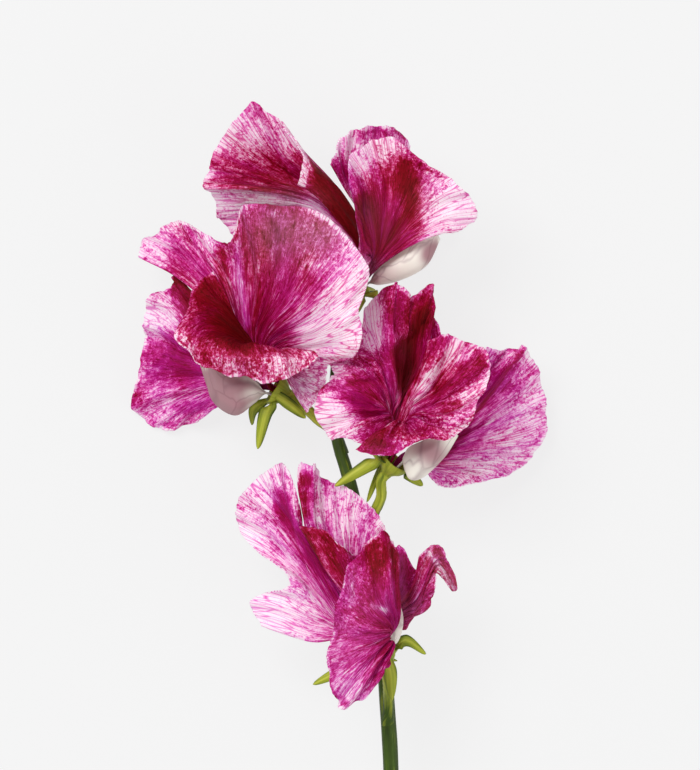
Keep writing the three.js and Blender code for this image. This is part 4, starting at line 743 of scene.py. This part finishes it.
flowerFourStandard = {
    "at": "behind", "ruffle": 0.6, "waves": 6, "phase": 0.3,
    "pigment": 0.55, "margin": -0.12, "throat": 0.3, "violet": 0.5,
    "patches": [
        [-17, 34, 3.8, -0.55, 0.1, 0], [-14, 30, 1.6, -0.3, 0.1, 0], [-13, 26, 4, 0.25, 0.1, 0],
        [-5, 18, 3.5, 0.3, 0.1, 0], [-10, 17, 3, -0.12, 0, 0], [-7, 34, 1.7, 0.55, -0.6, 0],
        [-6.7, 30.5, 1.6, 0.5, -0.5, 0], [-7, 27.5, 1.4, 0.4, -0.5, 0], [1, 29, 4.5, -0.2, 0, 0],
        [-15, 8, 6.5, -0.9, 0.2, 0], [-18.5, 22, 4, -0.85, 0.1, 0], [-5, 6, 4, -0.1, 0, 0],
        [-9, 1, 4, -0.3, 0, 0],
    ],
    "strokes": [[-12.2, 31, -1, 11, 1.8, 0.42, 0.15, 0], [-9.3, 31, -8.4, 25, 0.6, -0.4, 0, 0]],
    "creases": [
        [-10, 27, -1.8, 7, 0.8, 0.8], [-12.5, 31, -3, 9, 0.9, -0.5], [-17, 31, -5, 11, 1, 0.4],
        [1, 30, 1, 13, 1, 0.4], [-16, 9, -3, 5, 1, 0.4],
    ],
    "ribs": [
        [[1, 2, 26], [-5, 1.5, 26], [-10, 2.8, 25], [-15.5, 4.6, 23]],
        [[0.5, 3.5, 26], [-6, 6, 25], [-12, 8.5, 23.5], [-18, 9.5, 21]],
        [[0.3, 4.8, 26], [-5, 9.5, 26], [-7.5, 12, 26.5], [-10, 13.4, 26]],
        [[0, 6, 26], [-7, 14.5, 25], [-14, 20.5, 22], [-20.5, 24, 18]],
        [[0, 7, 26.2], [-6.5, 17, 26], [-13, 25, 23.5], [-20.2, 29.5, 19]],
        [[0.3, 7.8, 26.5], [-5.5, 18.5, 27.5], [-10.8, 27.5, 27], [-15.5, 35.2, 25]],
        [[0.8, 8.4, 27], [-4.5, 18, 29.5], [-9.6, 27.5, 30.5], [-10.6, 37.3, 31]],
        [[1.3, 8.8, 27], [-3.5, 16.5, 28.4], [-6, 21, 29], [-7.1, 23.4, 29.6]],
        [[1.8, 9.2, 27], [-2.6, 16.5, 29], [-6.2, 25, 31], [-8, 37, 33]],
        [[2.4, 9.5, 27], [-1.5, 16.5, 29], [-4.8, 26, 30.5], [-4.9, 37.2, 31]],
        [[3, 9.7, 27], [0, 17, 28], [-2, 27, 27], [-2.6, 34.3, 27]],
        [[3.8, 9.8, 27], [2.5, 18, 27], [2.5, 26, 25.8], [3.5, 31.5, 25.8]],
        [[4.6, 9.8, 27], [5, 17, 26.8], [6.5, 23, 26.5], [8.5, 26, 26.8]],
        [[5.2, 9.5, 27], [6.5, 14, 27], [8, 18.5, 27], [9.6, 22.5, 27]],
    ],
}
flowerFourWingNear = {
    "at": "near", "ruffle": 0.5, "waves": 5, "phase": 0.4, "folds": 0.35,
    "pigment": 0.87, "margin": -0.06, "throat": 0.05, "violet": 0.5,
    "patches": [
        [8, 19, 4, 0.1, -0.6, 0], [2, 2, 5, -0.14, 0.3, 0.1], [2, -8, 5, -0.28, 0.35, 0.1],
        [8, 2, 4, 0.1, -0.1, 0], [5, 10, 5, 0, 0.1, 0.1],
    ],
    "strokes": [
        [6.6, 9.2, 9.2, 8.4, 0.6, -0.35, 0, 0.25], [10.6, 20, 12, 9, 0.7, 0.3, 0, 0],
        [3.2, 17, 2.4, 9, 0.6, -0.15, 0, 0.1],
    ],
    "mottled": [[5, 14, 6, 0.5], [4, -4, 7, -0.5]],
    "creases": [
        [5.7, 20, 2.8, 8, 0.8, 0.6], [10.3, 21, 8.4, 7, 0.8, 0.6], [7.7, 21, 6, 7, 0.9, -0.5],
        [9, 3, 1.5, -9, 0.9, 0.4], [9, 2, 5, -9, 0.9, -0.4], [8, 4, -1, 3, 0.9, -0.4],
    ],
    "ribs": [
        [[10.6, 1.2, 35.2], [10.2, -1.4, 37.8], [9.3, -3, 39], [8.4, -4.6, 39]],
        [[10.4, 1.4, 35.5], [8.6, -3, 39.2], [6.8, -6.2, 40.2], [5, -9.2, 39]],
        [[10.2, 1.8, 35.8], [7, -2.8, 40.2], [4, -7, 41], [1.2, -11, 39]],
        [[10.1, 2.3, 36], [6, -1.2, 40.8], [2.5, -5, 41], [-1.1, -9.5, 38]],
        [[10, 2.9, 36.1], [5.8, 1, 41], [2, -1, 41], [-1.8, -3, 37]],
        [[10.1, 3.5, 36.1], [5.9, 3, 41.1], [2, 2.8, 41], [-2.2, 2, 37]],
        [[10.2, 4.1, 36.1], [6.2, 5.4, 41.2], [3.1, 7.5, 41], [0.1, 9.5, 37]],
        [[10.4, 4.6, 36.1], [7, 8.5, 41.4], [4.6, 13, 41.2], [2, 17.5, 37]],
        [[10.7, 5, 36], [8.3, 10.5, 41.6], [6.9, 16, 41.8], [5.5, 21.5, 38]],
        [[11, 5.3, 35.8], [9.8, 11.2, 41.4], [9.2, 17.5, 41.6], [9, 24, 38.5]],
        [[11.3, 5.5, 35.5], [11.1, 11, 39.8], [10.7, 17, 39.6], [10.8, 22, 37]],
        [[11.6, 5.6, 35.1], [12.1, 9.5, 37.6], [11.8, 12.5, 37.8], [11.3, 16, 36]],
    ],
}
flowerFourWingFar = {
    "at": "far", "ruffle": 0.4, "waves": 5, "phase": 0.1, "folds": 0.3,
    "pigment": 0.85, "margin": -0.1, "throat": 0.3, "violet": 0.3,
    "patches": [
        [-4, 22, 4.5, 0.2, -0.35, 0], [14, 8, 4, 0.1, 0.35, 0.25], [20, 19, 3, 0, 0, 0.25],
        [22, 14, 3, 0.05, -0.2, 0.25],
    ],
    "strokes": [[18, 19.5, 23, 12.5, 0.6, -0.3, 0, 0.3], [12, 6, 12.5, 18, 1.2, 0.3, 0.3, 0.15]],
    "creases": [
        [13, 4, 19, 20, 0.9, 0.6], [14, 6, 13.5, 19, 0.9, -0.5], [18.5, 19, 22.7, 14, 0.5, 0.4],
        [-6, 25, 1, 11, 0.9, 0.6], [-3.5, 24, 2, 14, 0.9, -0.4],
    ],
    "ribs": [
        [[6, 6.5, 31], [1.5, 11, 33], [-2.5, 16, 33], [-8, 24.8, 34]],
        [[6.3, 7, 31.5], [2.5, 13, 34], [-1, 19, 34.5], [-4, 24.8, 35]],
        [[6.8, 7.4, 32], [4, 14, 34.5], [2.5, 17.5, 35], [0, 21.3, 35.5]],
        [[7.3, 7.6, 31.5], [6, 14, 32.5], [5, 17, 32.5], [4, 19.5, 32]],
        [[8, 7.6, 30.5], [8.5, 13, 30.5], [9, 17, 30], [10, 20.5, 29.5]],
        [[8.6, 7.3, 29], [11, 12.5, 29], [12, 16.5, 29], [12.3, 21, 29]],
        [[9.3, 6.8, 28], [13, 11, 28], [14.6, 13.2, 28.2], [15.5, 16.2, 28.4]],
        [[9.6, 6.4, 27.6], [14, 10.6, 28], [16.2, 15.8, 29], [17.2, 19.8, 30]],
        [[9.7, 6.3, 27.4], [14.6, 10.3, 28], [17.4, 16.8, 29.4], [18.6, 21.3, 30.6]],
        [[9.8, 6.1, 27.2], [15, 10, 28], [18.6, 17.6, 29.7], [20.7, 20.4, 30.6]],
        [[9.9, 6, 27.1], [15.2, 9.7, 27.9], [19.5, 18, 29.8], [22, 17.4, 30.2]],
        [[9.9, 5.9, 27], [15.3, 9.4, 27.8], [20.1, 18.1, 29.7], [23.9, 12.7, 29.4]],
        [[10, 5.7, 26.8], [15.3, 9.1, 27.6], [19.9, 17.2, 29.5], [22.6, 11.4, 28.8]],
        [[10.1, 5.5, 26.6], [15.1, 8.7, 27.2], [18.3, 14.8, 28.8], [20, 15.8, 29]],
        [[10.1, 5.3, 26.4], [14.8, 8.2, 26.9], [17, 11.6, 27.8], [19.3, 13.4, 28]],
        [[10.2, 5, 26], [14, 7.2, 26.4], [16.4, 8.6, 26.9], [18.9, 10.4, 27.2]],
        [[10.2, 4.4, 25.4], [13, 5.4, 25.2], [15.2, 6.6, 25.4], [17.2, 8, 25.6]],
        [[10, 3.8, 24.8], [11.5, 4.2, 24.5], [12.6, 4.3, 24.4], [13.5, 4.5, 24.3]],
    ],
}
flowerFourKeel = {
    "at": "front",
    "pigment": 0.3,
    "ribs": [
        [[10.3, 3.4, 31.2], [10.8, 6, 31.9], [11.4, 8, 32.2], [12, 9.6, 32.2]],
        [[10.9, 2.4, 31], [11.7, 5, 31.8], [12.1, 7.4, 32], [12.3, 9.6, 31.9]],
        [[11.4, 1.6, 30], [12.5, 4.4, 30.4], [12.9, 7.2, 30.8], [12.5, 9.6, 31.4]],
        [[11, 2.5, 28.9], [11.9, 5, 29.1], [12.2, 7.5, 29.8], [12.3, 9.8, 30.9]],
        [[10.4, 3.6, 28.9], [10.9, 6, 29.2], [11.4, 8.2, 29.8], [12, 9.9, 30.6]],
    ],
}
flowerFour = {
    "mouth": [8, -0.5, 28], "axis": [-0.3, 0.9, 0.2], "back": [-0.9, -0.3, -0.2],
    "sepals": [
        {"bend": [13.2, 1.9, 27], "tip": [17.4, -0.8, 25.6], "width": 2.6, "faceUp": True},
        {"bend": [10.2, -4.6, 29.6], "tip": [10.6, -10, 27], "width": 3.1, "faceUp": True},
        {"bend": [2.6, -3.2, 26.4], "tip": [-5.2, -7, 24], "width": 3.1, "faceUp": True},
        {"bend": [5, 3.2, 24], "tip": [3.2, 5.6, 22.6], "width": 1.8},
        {"bend": [9.4, -1.4, 23.4], "tip": [11.6, -2.4, 21.6], "width": 1.8},
    ],
    "petals": {"standard": flowerFourStandard, "wing_near": flowerFourWingNear,
               "wing_far": flowerFourWingFar, "keel": flowerFourKeel},
}

blooms = [flowerOne, flowerTwo, flowerThree, flowerFour]


def bloomFrame(flower):  # the way the petals leave the calyx, the standard's side, and the side that faces up
    axis = unit(flower["axis"])
    back = np.asarray(flower["back"], float)
    back = unit(back - axis * back.dot(axis))
    side = unit(np.cross(axis, back))
    return axis, back, -side if side[2] < 0 else side


def petalGrid(petal, flower, stand, us, vs):  # the petal's middle surface, (columns, rows, 3)
    ribs = np.asarray(petal["ribs"], float)
    axis = bloomFrame(flower)[0]
    mouth = np.asarray(flower["mouth"], float)
    reach = ribs[-1, 0] - ribs[0, 0]
    reach = unit(reach - axis * reach.dot(axis))
    deep = mouth - axis * petalMake["clawDepth"] + stand * petalMake["clawPinch"]
    neck = mouth + axis * petalMake["clawRise"] + stand
    sideStep = ((np.arange(len(ribs)) / (len(ribs) - 1) - 0.5) * petalMake["clawWidth"])[:, None]
    starts = deep + reach * sideStep * petalMake["clawPinch"]
    necks = neck + reach * sideStep
    points = np.concatenate([starts[:, None], necks[:, None], ribs], axis=1)
    along = curveThrough(np.swapaxes(points, 0, 1), vs)
    return curveThrough(np.swapaxes(along, 0, 1), us)


def fromLine(grid, x0, y0, x1, y1):  # how far along a line each point is, 0 to 1, and how far off it in mm
    way = np.array([x1 - x0, y1 - y0])
    offset = grid[..., :2] - (x0, y0)
    t = np.clip(offset @ way / way.dot(way), 0, 1)
    return t, np.linalg.norm(offset - t[..., None] * way, axis=-1)


def nearPoint(grid, x, y, radius):
    return np.exp(-((grid[..., 0] - x) ** 2 + (grid[..., 1] - y) ** 2) / radius ** 2)


def paintGrid(grid, u, v, petal):  # pigment, hue, greying with painted shade, and marbling over the petal
    pigment = petal["pigment"] + petal.get("margin", 0) * ease(0.6, 1.0, v)
    # More pigment toward the claw: deeper dye in the throat, and painted shade in its hollow
    pigment = pigment + petal.get("throat", 0) * (1 - ease(0.15, 0.5, v))
    hue, greyAndShade = petal.get("violet", 0) + 0 * v, 0 * v
    marks = []
    for x, y, radius, *change in petal.get("patches", []):
        marks.append((nearPoint(grid, x, y, radius), change))
    for x0, y0, x1, y1, width, *change in petal.get("strokes", []):
        marks.append((hill(fromLine(grid, x0, y0, x1, y1)[1], width), change))
    soft, softAlong = 0.02, 0.15  # half the width of a band's edge, in parts of the petal
    for first, last, start, *change in petal.get("bands", []):
        inside = ease(first - soft, first + soft, u) * (1 - ease(last - soft, last + soft, u))
        marks.append((inside * ease(start - softAlong, start + softAlong, v), change))
    for near, (morePigment, moreViolet, moreGreyAndShade) in marks:
        pigment, hue, greyAndShade = pigment + morePigment * near, hue + moreViolet * near, greyAndShade + moreGreyAndShade * near
    mottled = petalMake["marginMottled"] * ease(0.3, 0.95, v)
    for x, y, radius, more in petal.get("mottled", []):
        mottled = mottled + more * nearPoint(grid, x, y, radius)
    return pigment, hue, np.minimum(greyAndShade, petalMake["mostGreyAndShade"]), np.clip(mottled, 0, 1)


def makePetal(name, petal, flower, stand, seed, cells):
    us = np.linspace(0, 1, cells[0] + 1)
    vs = np.linspace(0, 1, cells[1] + 1) ** petalMake["rowPower"]
    surface = petalGrid(petal, flower, stand, us, vs)
    v = np.broadcast_to(vs, surface.shape[:2])
    u = np.broadcast_to(us[:, None], surface.shape[:2])
    lengthMm = np.linalg.norm(np.diff(surface, axis=1), axis=-1).sum(1).mean()
    marginMm = np.linalg.norm(np.diff(surface[:, -1], axis=0), axis=-1).sum()
    wave = np.sin(2 * np.pi * (petal.get("waves", 3) * u + petal.get("phase", 0)))
    total = petal.get("ruffle", 0) * v ** 4 * wave
    heights = {}
    for number, (kind, form) in enumerate(relief.items(), 2):  # 0 and 1 are the margin's
        longest, shortest = form["crests"]
        swayed = u + form["sway"] * np.sin(6 * v + seed)
        most = petal.get(kind, form["height"]) * ease(*form["rise"], v)
        heights[kind] = most * wander(swayed, seed + number, marginMm / longest, marginMm / shortest)
        total = total + heights[kind]
    normals = gridNormals(surface, 6)
    grid = surface + normals * total[..., None]
    up = normals * np.where(normals[..., 2:] < 0, -1, 1)
    creased = np.zeros(v.shape)
    edge = petalMake["foldEdge"]
    for x0, y0, x1, y1, width, height in petal.get("creases", []):  # they stand up, or sink if negative
        t, apart = fromLine(surface, x0, y0, x1, y1)
        soft = np.sqrt(apart ** 2 + 0.02) - edge
        creased += height * np.exp(-soft / width) * ease(0, 0.3, t) * (1 - ease(0.6, 1, t))
    grid = grid + up * creased[..., None]
    # The margin is a little uneven: in places it stops short of the smooth outline, by up to 0.5 mm
    short = petalMake["marginShort"] * (1 + wander(us, seed, marginMm / 14, marginMm / 6))
    short = short + petalMake["marginNotched"] * wander(us, seed + 1, marginMm / 3, marginMm / 1.5)
    inward = unit(surface[:, -12] - surface[:, -1])
    grid = grid + inward[:, None] * (short[:, None] * ease(0.9, 1, v))[..., None]

    pigment, hue, greyAndShade, mottled = paintGrid(grid, u, v, petal)
    # Painted light and shade from the relief: paler where a crease or a ridge stands up, deeper where it
    # sinks
    pigment = pigment - petalMake["creaseShading"] * creased
    pigment = pigment - petalMake["ridgeShading"] * heights["ridges"] * (1 - mottled)
    least = petalMake["leastPigment"]
    if "keel" not in name:
        pigment = np.where(pigment < least, least + petalMake["slowFall"] * (pigment - least), pigment)
    pigment = pigment - petalMake["rimPale"] * (1 + wander(u, seed + 6, 2, 9)) * ease(0.965, 0.99, v)
    place = np.stack([u * marginMm, v * lengthMm, np.full(u.shape, seed * 3.7)], -1)
    values = {"petalMap": place, "pigment": pigment, "violet": hue, "greyAndShade": greyAndShade, "mottled": mottled}
    return meshFrom(name, [shellPart(grid, gridNormals(grid, 2), petalMake["thickness"], values)])


calyxMake = {
    "length": 3.6, "mouthRadius": 3.3, "wall": 0.5, "sides": 60, "young": 0.7,
    "ribs": 10, "ribDepth": 0.02,  # in parts of the radius
    # The cup's skin from the foot up the outside, over the rim and down the inside: its radius, which is
    # scaled so that the widest is the mouth's, and its height in parts of the cup's length
    "profile": [(0.05, 0), (0.75, 0.01), (1.0, 0.04), (1.02, 0.12), (1.35, 0.25), (1.95, 0.42), (2.35, 0.62),
                (2.56, 0.82), (2.64, 0.97), (2.6, 1.0), (2.46, 0.985), (2.34, 0.85), (2.1, 0.62), (1.6, 0.42),
                (0.9, 0.3), (0.05, 0.26)],
}
sepalMake = {
    "thickness": 0.45, "cells": (14, 40),
    "rootDepth": 0.3, "rootReach": 0.93,  # in parts of the cup's length and of its mouth's radius
    "tipWidth": 0.12, "midrib": 0.16, "midribWidth": 0.16, "cupped": 0.16,
}


def makeSepal(sepal, flower):  # the sepal's part of the mesh, and where round the cup it stands
    axis, back, _ = bloomFrame(flower)
    make = sepalMake
    mouth = np.asarray(flower["mouth"], float)
    bend, tip = np.asarray(sepal["bend"], float), np.asarray(sepal["tip"], float)
    outward = bend - mouth
    outward = unit(outward - axis * outward.dot(axis))
    at = math.atan2(outward.dot(np.cross(axis, back)), outward.dot(back))
    reach = calyxMake["mouthRadius"] * make["rootReach"] - calyxMake["wall"] / 2
    root = mouth - axis * calyxMake["length"] * make["rootDepth"] + outward * reach
    us, vs = np.linspace(-1, 1, make["cells"][0] + 1), np.linspace(0, 1, make["cells"][1] + 1)
    spine = curveThrough([root, bend, tip], vs)
    flat = unit(np.cross(outward, axis))
    level = unit(np.cross((0, 0, 1), tip - root))
    level = level * np.sign(level.dot(flat))
    twist = (sepal.get("faceUp", False) * ease(0.05, 0.45, vs))[:, None]
    flat = unit(flat * (1 - twist) + level * twist)
    width = sepal["width"] * (1 - vs) ** 0.6 * (0.9 + 0.8 * vs) + make["tipWidth"]
    grid = spine[None] + flat[None] * (us[:, None] * width[None] / 2)[..., None]
    normals = gridNormals(grid, 1)
    u, v = np.broadcast_to(us[:, None], grid.shape[:2]), np.broadcast_to(vs, grid.shape[:2])
    raised = make["midrib"] * hill(u, make["midribWidth"]) * (1 - 0.6 * v) - make["cupped"] * u ** 2 * width
    out = np.sign((normals * outward).sum(-1).mean()) or 1
    grid = grid + normals * (out * raised)[..., None]
    thick = make["thickness"] * (1 - 0.55 * u ** 2) * (1 - 0.5 * v)
    place = np.stack([u * width / 2, v * 8 + at, np.full(u.shape, at * 5)], -1)
    youth = calyxMake["young"] + 0.12 * v + 0.15 * hill(u, 0.35) - 0.3 * u ** 2  # youngest along the midrib, and darker toward both edges: painted shade
    return shellPart(grid, gridNormals(grid, 1), thick, {"greenMap": place, "young": youth}), at


def makeCalyx(name, flower):
    axis, back, _ = bloomFrame(flower)
    across = np.cross(axis, back)
    make = calyxMake
    foot = np.asarray(flower["mouth"], float) - axis * make["length"]
    turn = np.linspace(0, 2 * np.pi, make["sides"], endpoint=False)
    raised = 0  # the rim rises toward each sepal
    parts = []
    for sepal in flower["sepals"]:
        part, at = makeSepal(sepal, flower)
        parts.append(part)
        raised = np.maximum(raised, hill((turn - at + np.pi) % (2 * np.pi) - np.pi, 0.5))
    rise = make["length"] * (1 + 0.10 * raised - 0.07)
    widest = max(make["profile"])[0]
    ribbed = 1 + make["ribDepth"] * np.cos(make["ribs"] * turn)
    rings, youth, places = [], [], []
    for radius, height in make["profile"]:
        radius = radius * make["mouthRadius"] / widest * ribbed
        ring = foot + back * (radius * np.cos(turn))[:, None] + across * (radius * np.sin(turn))[:, None]
        rings.append(ring + axis * (height * rise)[:, None])
        youth.append(make["young"] - 0.12 + 0.15 * height + 0 * turn)
        places.append(np.stack([turn * 2.5, height * 4 + 0 * turn, 0 * turn], -1))
    parts.append(tubePart(np.array(rings), {"greenMap": np.array(places), "young": np.array(youth)}))
    return meshFrom(name, parts)


stalkMake = {
    "radiusAtCut": 1.7, "radiusAtTip": 1.0, "pedicelRadius": 1.05, "sides": 32,
    "stalkCells": 360, "pedicelCells": 60,  # along
    "straight": 1.4, "intoCup": 0.25,  # how far a pedicel runs straight below its cup, and past its foot
    "ribs": 5, "ribDepth": 0.035, "ribTurn": 0.6, "ribYoung": 0.12,  # depths are in parts of the radius
    "fineRibs": 11, "fineDepth": 0.012, "uneven": 0.012,
    "cutBevel": 0.9, "pith": 0.8, "pithYoung": 1.3,
    "path": [[8, -110, 1.7], [9.4, -85, 4.2], [10.6, -55, 9.5], [10.4, -24, 15.5], [9.7, -12, 17.5],
             [8.9, -2, 18.6], [7, 10, 19.6], [5, 20, 20.2], [2.6, 31.5, 20.8], [1.4, 36, 21], [-0.3, 42, 21],
             [-0.9, 50, 20.5], [-0.3, 60, 20.6], [-0.2, 67, 21.6]],
    "pedicels": [(1, [[0.6, 39, 20.8], [-0.8, 43.4, 21.2], [-4.2, 46, 22]]),
                 (2, [[4.6, 20.5, 20.2], [6.4, 26, 22.6], [8.4, 30.6, 25]]),
                 (3, [[9.8, -15, 17.2], [9.9, -10, 20.5]])],
}


def stalkPart(points, radiusAt, count, youngAt, seed, cutEnd=False):
    make = stalkMake
    t = np.linspace(0, 1, count + 1)
    path = curveThrough(points, t)
    along = unit(np.gradient(path, axis=0))
    normal = unit(np.cross(along[0], (0.3, 0.2, 1.0)))
    turn = np.linspace(0, 2 * np.pi, make["sides"], endpoint=False)
    ribs = np.cos(make["ribs"] * turn + make["ribTurn"])
    ridge = make["ribDepth"] * ribs + make["fineDepth"] * np.cos(make["fineRibs"] * turn + seed)
    lengthMm = np.concatenate([[0], np.linalg.norm(np.diff(path, axis=0), axis=1).cumsum()])
    rings, youth, places = [], [], []
    for i in range(count + 1):
        normal = unit(normal - along[i] * normal.dot(along[i]))
        beside = np.cross(along[i], normal)
        radius = radiusAt(t[i]) * (1 + ridge + make["uneven"] * wander(t[i], seed, 6, 20))
        if cutEnd and i == 0:
            radius = radius * make["cutBevel"]
        ring = normal * (radius * np.cos(turn))[:, None] + beside * (radius * np.sin(turn))[:, None]
        rings.append(path[i] + ring)
        youth.append(youngAt(t[i]) + make["ribYoung"] * ribs)
        places.append(np.stack([turn * radiusAt(t[i]), lengthMm[i] + 0 * turn, 0 * turn + seed], -1))
    if cutEnd:  # pale pith inside the green rind
        rings.insert(0, path[0] + (rings[0] - path[0]) * make["pith"])
        youth.insert(0, np.full(turn.shape, make["pithYoung"]))
        places.insert(0, places[0])
    return tubePart(np.array(rings), {"greenMap": np.array(places), "young": np.array(youth)})


def makeStalk(name, flowers):
    make = stalkMake
    feet = []
    for flower in flowers:
        axis = bloomFrame(flower)[0]
        foot = np.asarray(flower["mouth"], float) - axis * calyxMake["length"]
        feet.append([foot - axis * make["straight"], foot + axis * make["intoCup"]])

    def stalkRadius(t):
        return make["radiusAtCut"] + (make["radiusAtTip"] - make["radiusAtCut"]) * t

    def stalkYouth(t):
        return 0.12 + 0.35 * ease(0.85, 1, t)

    def pedicelRadius(t):  # wider where it leaves the stalk and under the calyx
        return make["pedicelRadius"] * (1 + 0.35 * hill(t, 0.12) + 0.12 * hill(1 - t, 0.1))

    def pedicelYouth(t):
        return 0.25 + 0.5 * ease(0.1, 0.6, t)

    parts = [stalkPart(make["path"] + feet[0], stalkRadius, make["stalkCells"], stalkYouth, 1, cutEnd=True)]
    for number, route in make["pedicels"]:
        points = route + feet[number]
        parts.append(stalkPart(points, pedicelRadius, make["pedicelCells"], pedicelYouth, number + 1))
    return meshFrom(name, parts)


flaked, pale = flakedPetal(), palePetal()
calyxGreen = greenSkin("waxy sepal skin", *greenLook["sepalRoughness"])
stalkGreen = greenSkin("fibrous stalk skin", *greenLook["stalkRoughness"])
for number, flower in enumerate(blooms, 1):
    axis, back, side = bloomFrame(flower)
    places = {"behind": back * petalMake["standBack"], "near": side * petalMake["standSide"],
              "far": -side * petalMake["standSide"], "front": -back * petalMake["standFront"]}
    for count, (kind, petal) in enumerate(flower["petals"].items()):
        node = f"flower_{number}_{kind}"
        keel = kind == "keel"
        cells = petalMake["keelCells"] if keel else petalMake["petalCells"]
        material, slot = (pale, "petal_pale") if keel else (flaked, "petal_flaked")
        mesh = makePetal(node + "_petal", petal, flower, places[petal["at"]], number * 10 + count, cells)
        addPiece(node + "_petal", mesh, material, node)
    node = f"flower_{number}_calyx"
    addPiece(node + "_cup", makeCalyx(node + "_cup", flower), calyxGreen, node)
    print(f"bloom {number}: petals, keel and calyx")
addPiece("stem_stalk", makeStalk("stem_stalk", blooms), stalkGreen, "stem")
print("stalk and pedicels")

floorLook = {
    "paint": "#505050", "glowColour": "#f4f4f4", "glow": 0.87, "roughness": (0.85, 0.95), "gloss": 0.1,
    "grain": 700.0, "size": 6.0,  # grains and metres
}
material, tree, _ = newMaterial("pale matt studio floor")  # painted board, evenly lit: a plain pale ground
where = addNode(tree, "TexCoord").outputs["Object"]
grain = addNode(tree, "TexNoise", {}, {"Vector": where, "Scale": floorLook["grain"], "Detail": 2.0})
least, most = floorLook["roughness"]
rough = addNode(tree, "MapRange", {}, {"Value": grain, "To Min": least, "To Max": most})
board = addNode(tree, "BsdfPrincipled", {}, {
    "Base Color": hexColour(floorLook["paint"]), "Roughness": rough, "Specular IOR Level": floorLook["gloss"],
    "Emission Color": hexColour(floorLook["glowColour"]), "Emission Strength": floorLook["glow"]})
addNode(tree, "OutputMaterial", {}, {"Surface": board})
half = floorLook["size"] / 2
mesh = bpy.data.meshes.new("floor")
mesh.from_pydata([(-half, -half, 0), (half, -half, 0), (half, half, 0), (-half, half, 0)], [], [(0, 1, 2, 3)])
mesh.materials.append(material)
floor = bpy.data.objects.new("floor", mesh)
bpy.context.scene.collection.objects.link(floor)

studio = {
    "air": "#f6f6f8", "airStrength": 0.8,
    "aim": (0.0, 0.05, 0.02),  # metres, as the places are
    # One large soft box up and to the left, a weaker one low on the right
    "lamps": [{"name": "keyBox", "place": (-0.4, 0.45, 1.05), "size": 0.5, "power": 11.0},
              {"name": "fillBox", "place": (0.75, -0.35, 0.7), "size": 0.7, "power": 3.0}],
}
world = bpy.data.worlds.new("studio")
bpy.context.scene.world = world
world.use_nodes = True
air = world.node_tree.nodes["Background"]
air.inputs["Color"].default_value = hexColour(studio["air"])
air.inputs["Strength"].default_value = studio["airStrength"]
for lamp in studio["lamps"]:
    light = bpy.data.lights.new(lamp["name"], "AREA")
    light.shape, light.size, light.energy = "SQUARE", lamp["size"], lamp["power"]
    box = bpy.data.objects.new(lamp["name"], light)
    box.location = lamp["place"]
    box.rotation_euler = (Vector(studio["aim"]) - Vector(lamp["place"])).to_track_quat("-Z", "Y").to_euler()
    bpy.context.scene.collection.objects.link(box)

view = {
    "middle": (2.2, 53.0), "height": 27.0, "away": 1600.0, "frameTall": 154.0, "sensor": 36,  # mm
    "clip": (0.05, 20),  # metres
}
cameraData = bpy.data.cameras.new("camera")
cameraData.sensor_width = view["sensor"]
cameraData.lens = view["sensor"] * view["away"] / view["frameTall"]
cameraData.clip_start, cameraData.clip_end = view["clip"]
camera = bpy.data.objects.new("camera", cameraData)
camera.location = (view["middle"][0] * mm, view["middle"][1] * mm, (view["height"] + view["away"]) * mm)
bpy.context.scene.collection.objects.link(camera)
bpy.context.scene.camera = camera
bpy.context.scene.view_settings.view_transform = "Standard"
print("floor, lamps and camera")
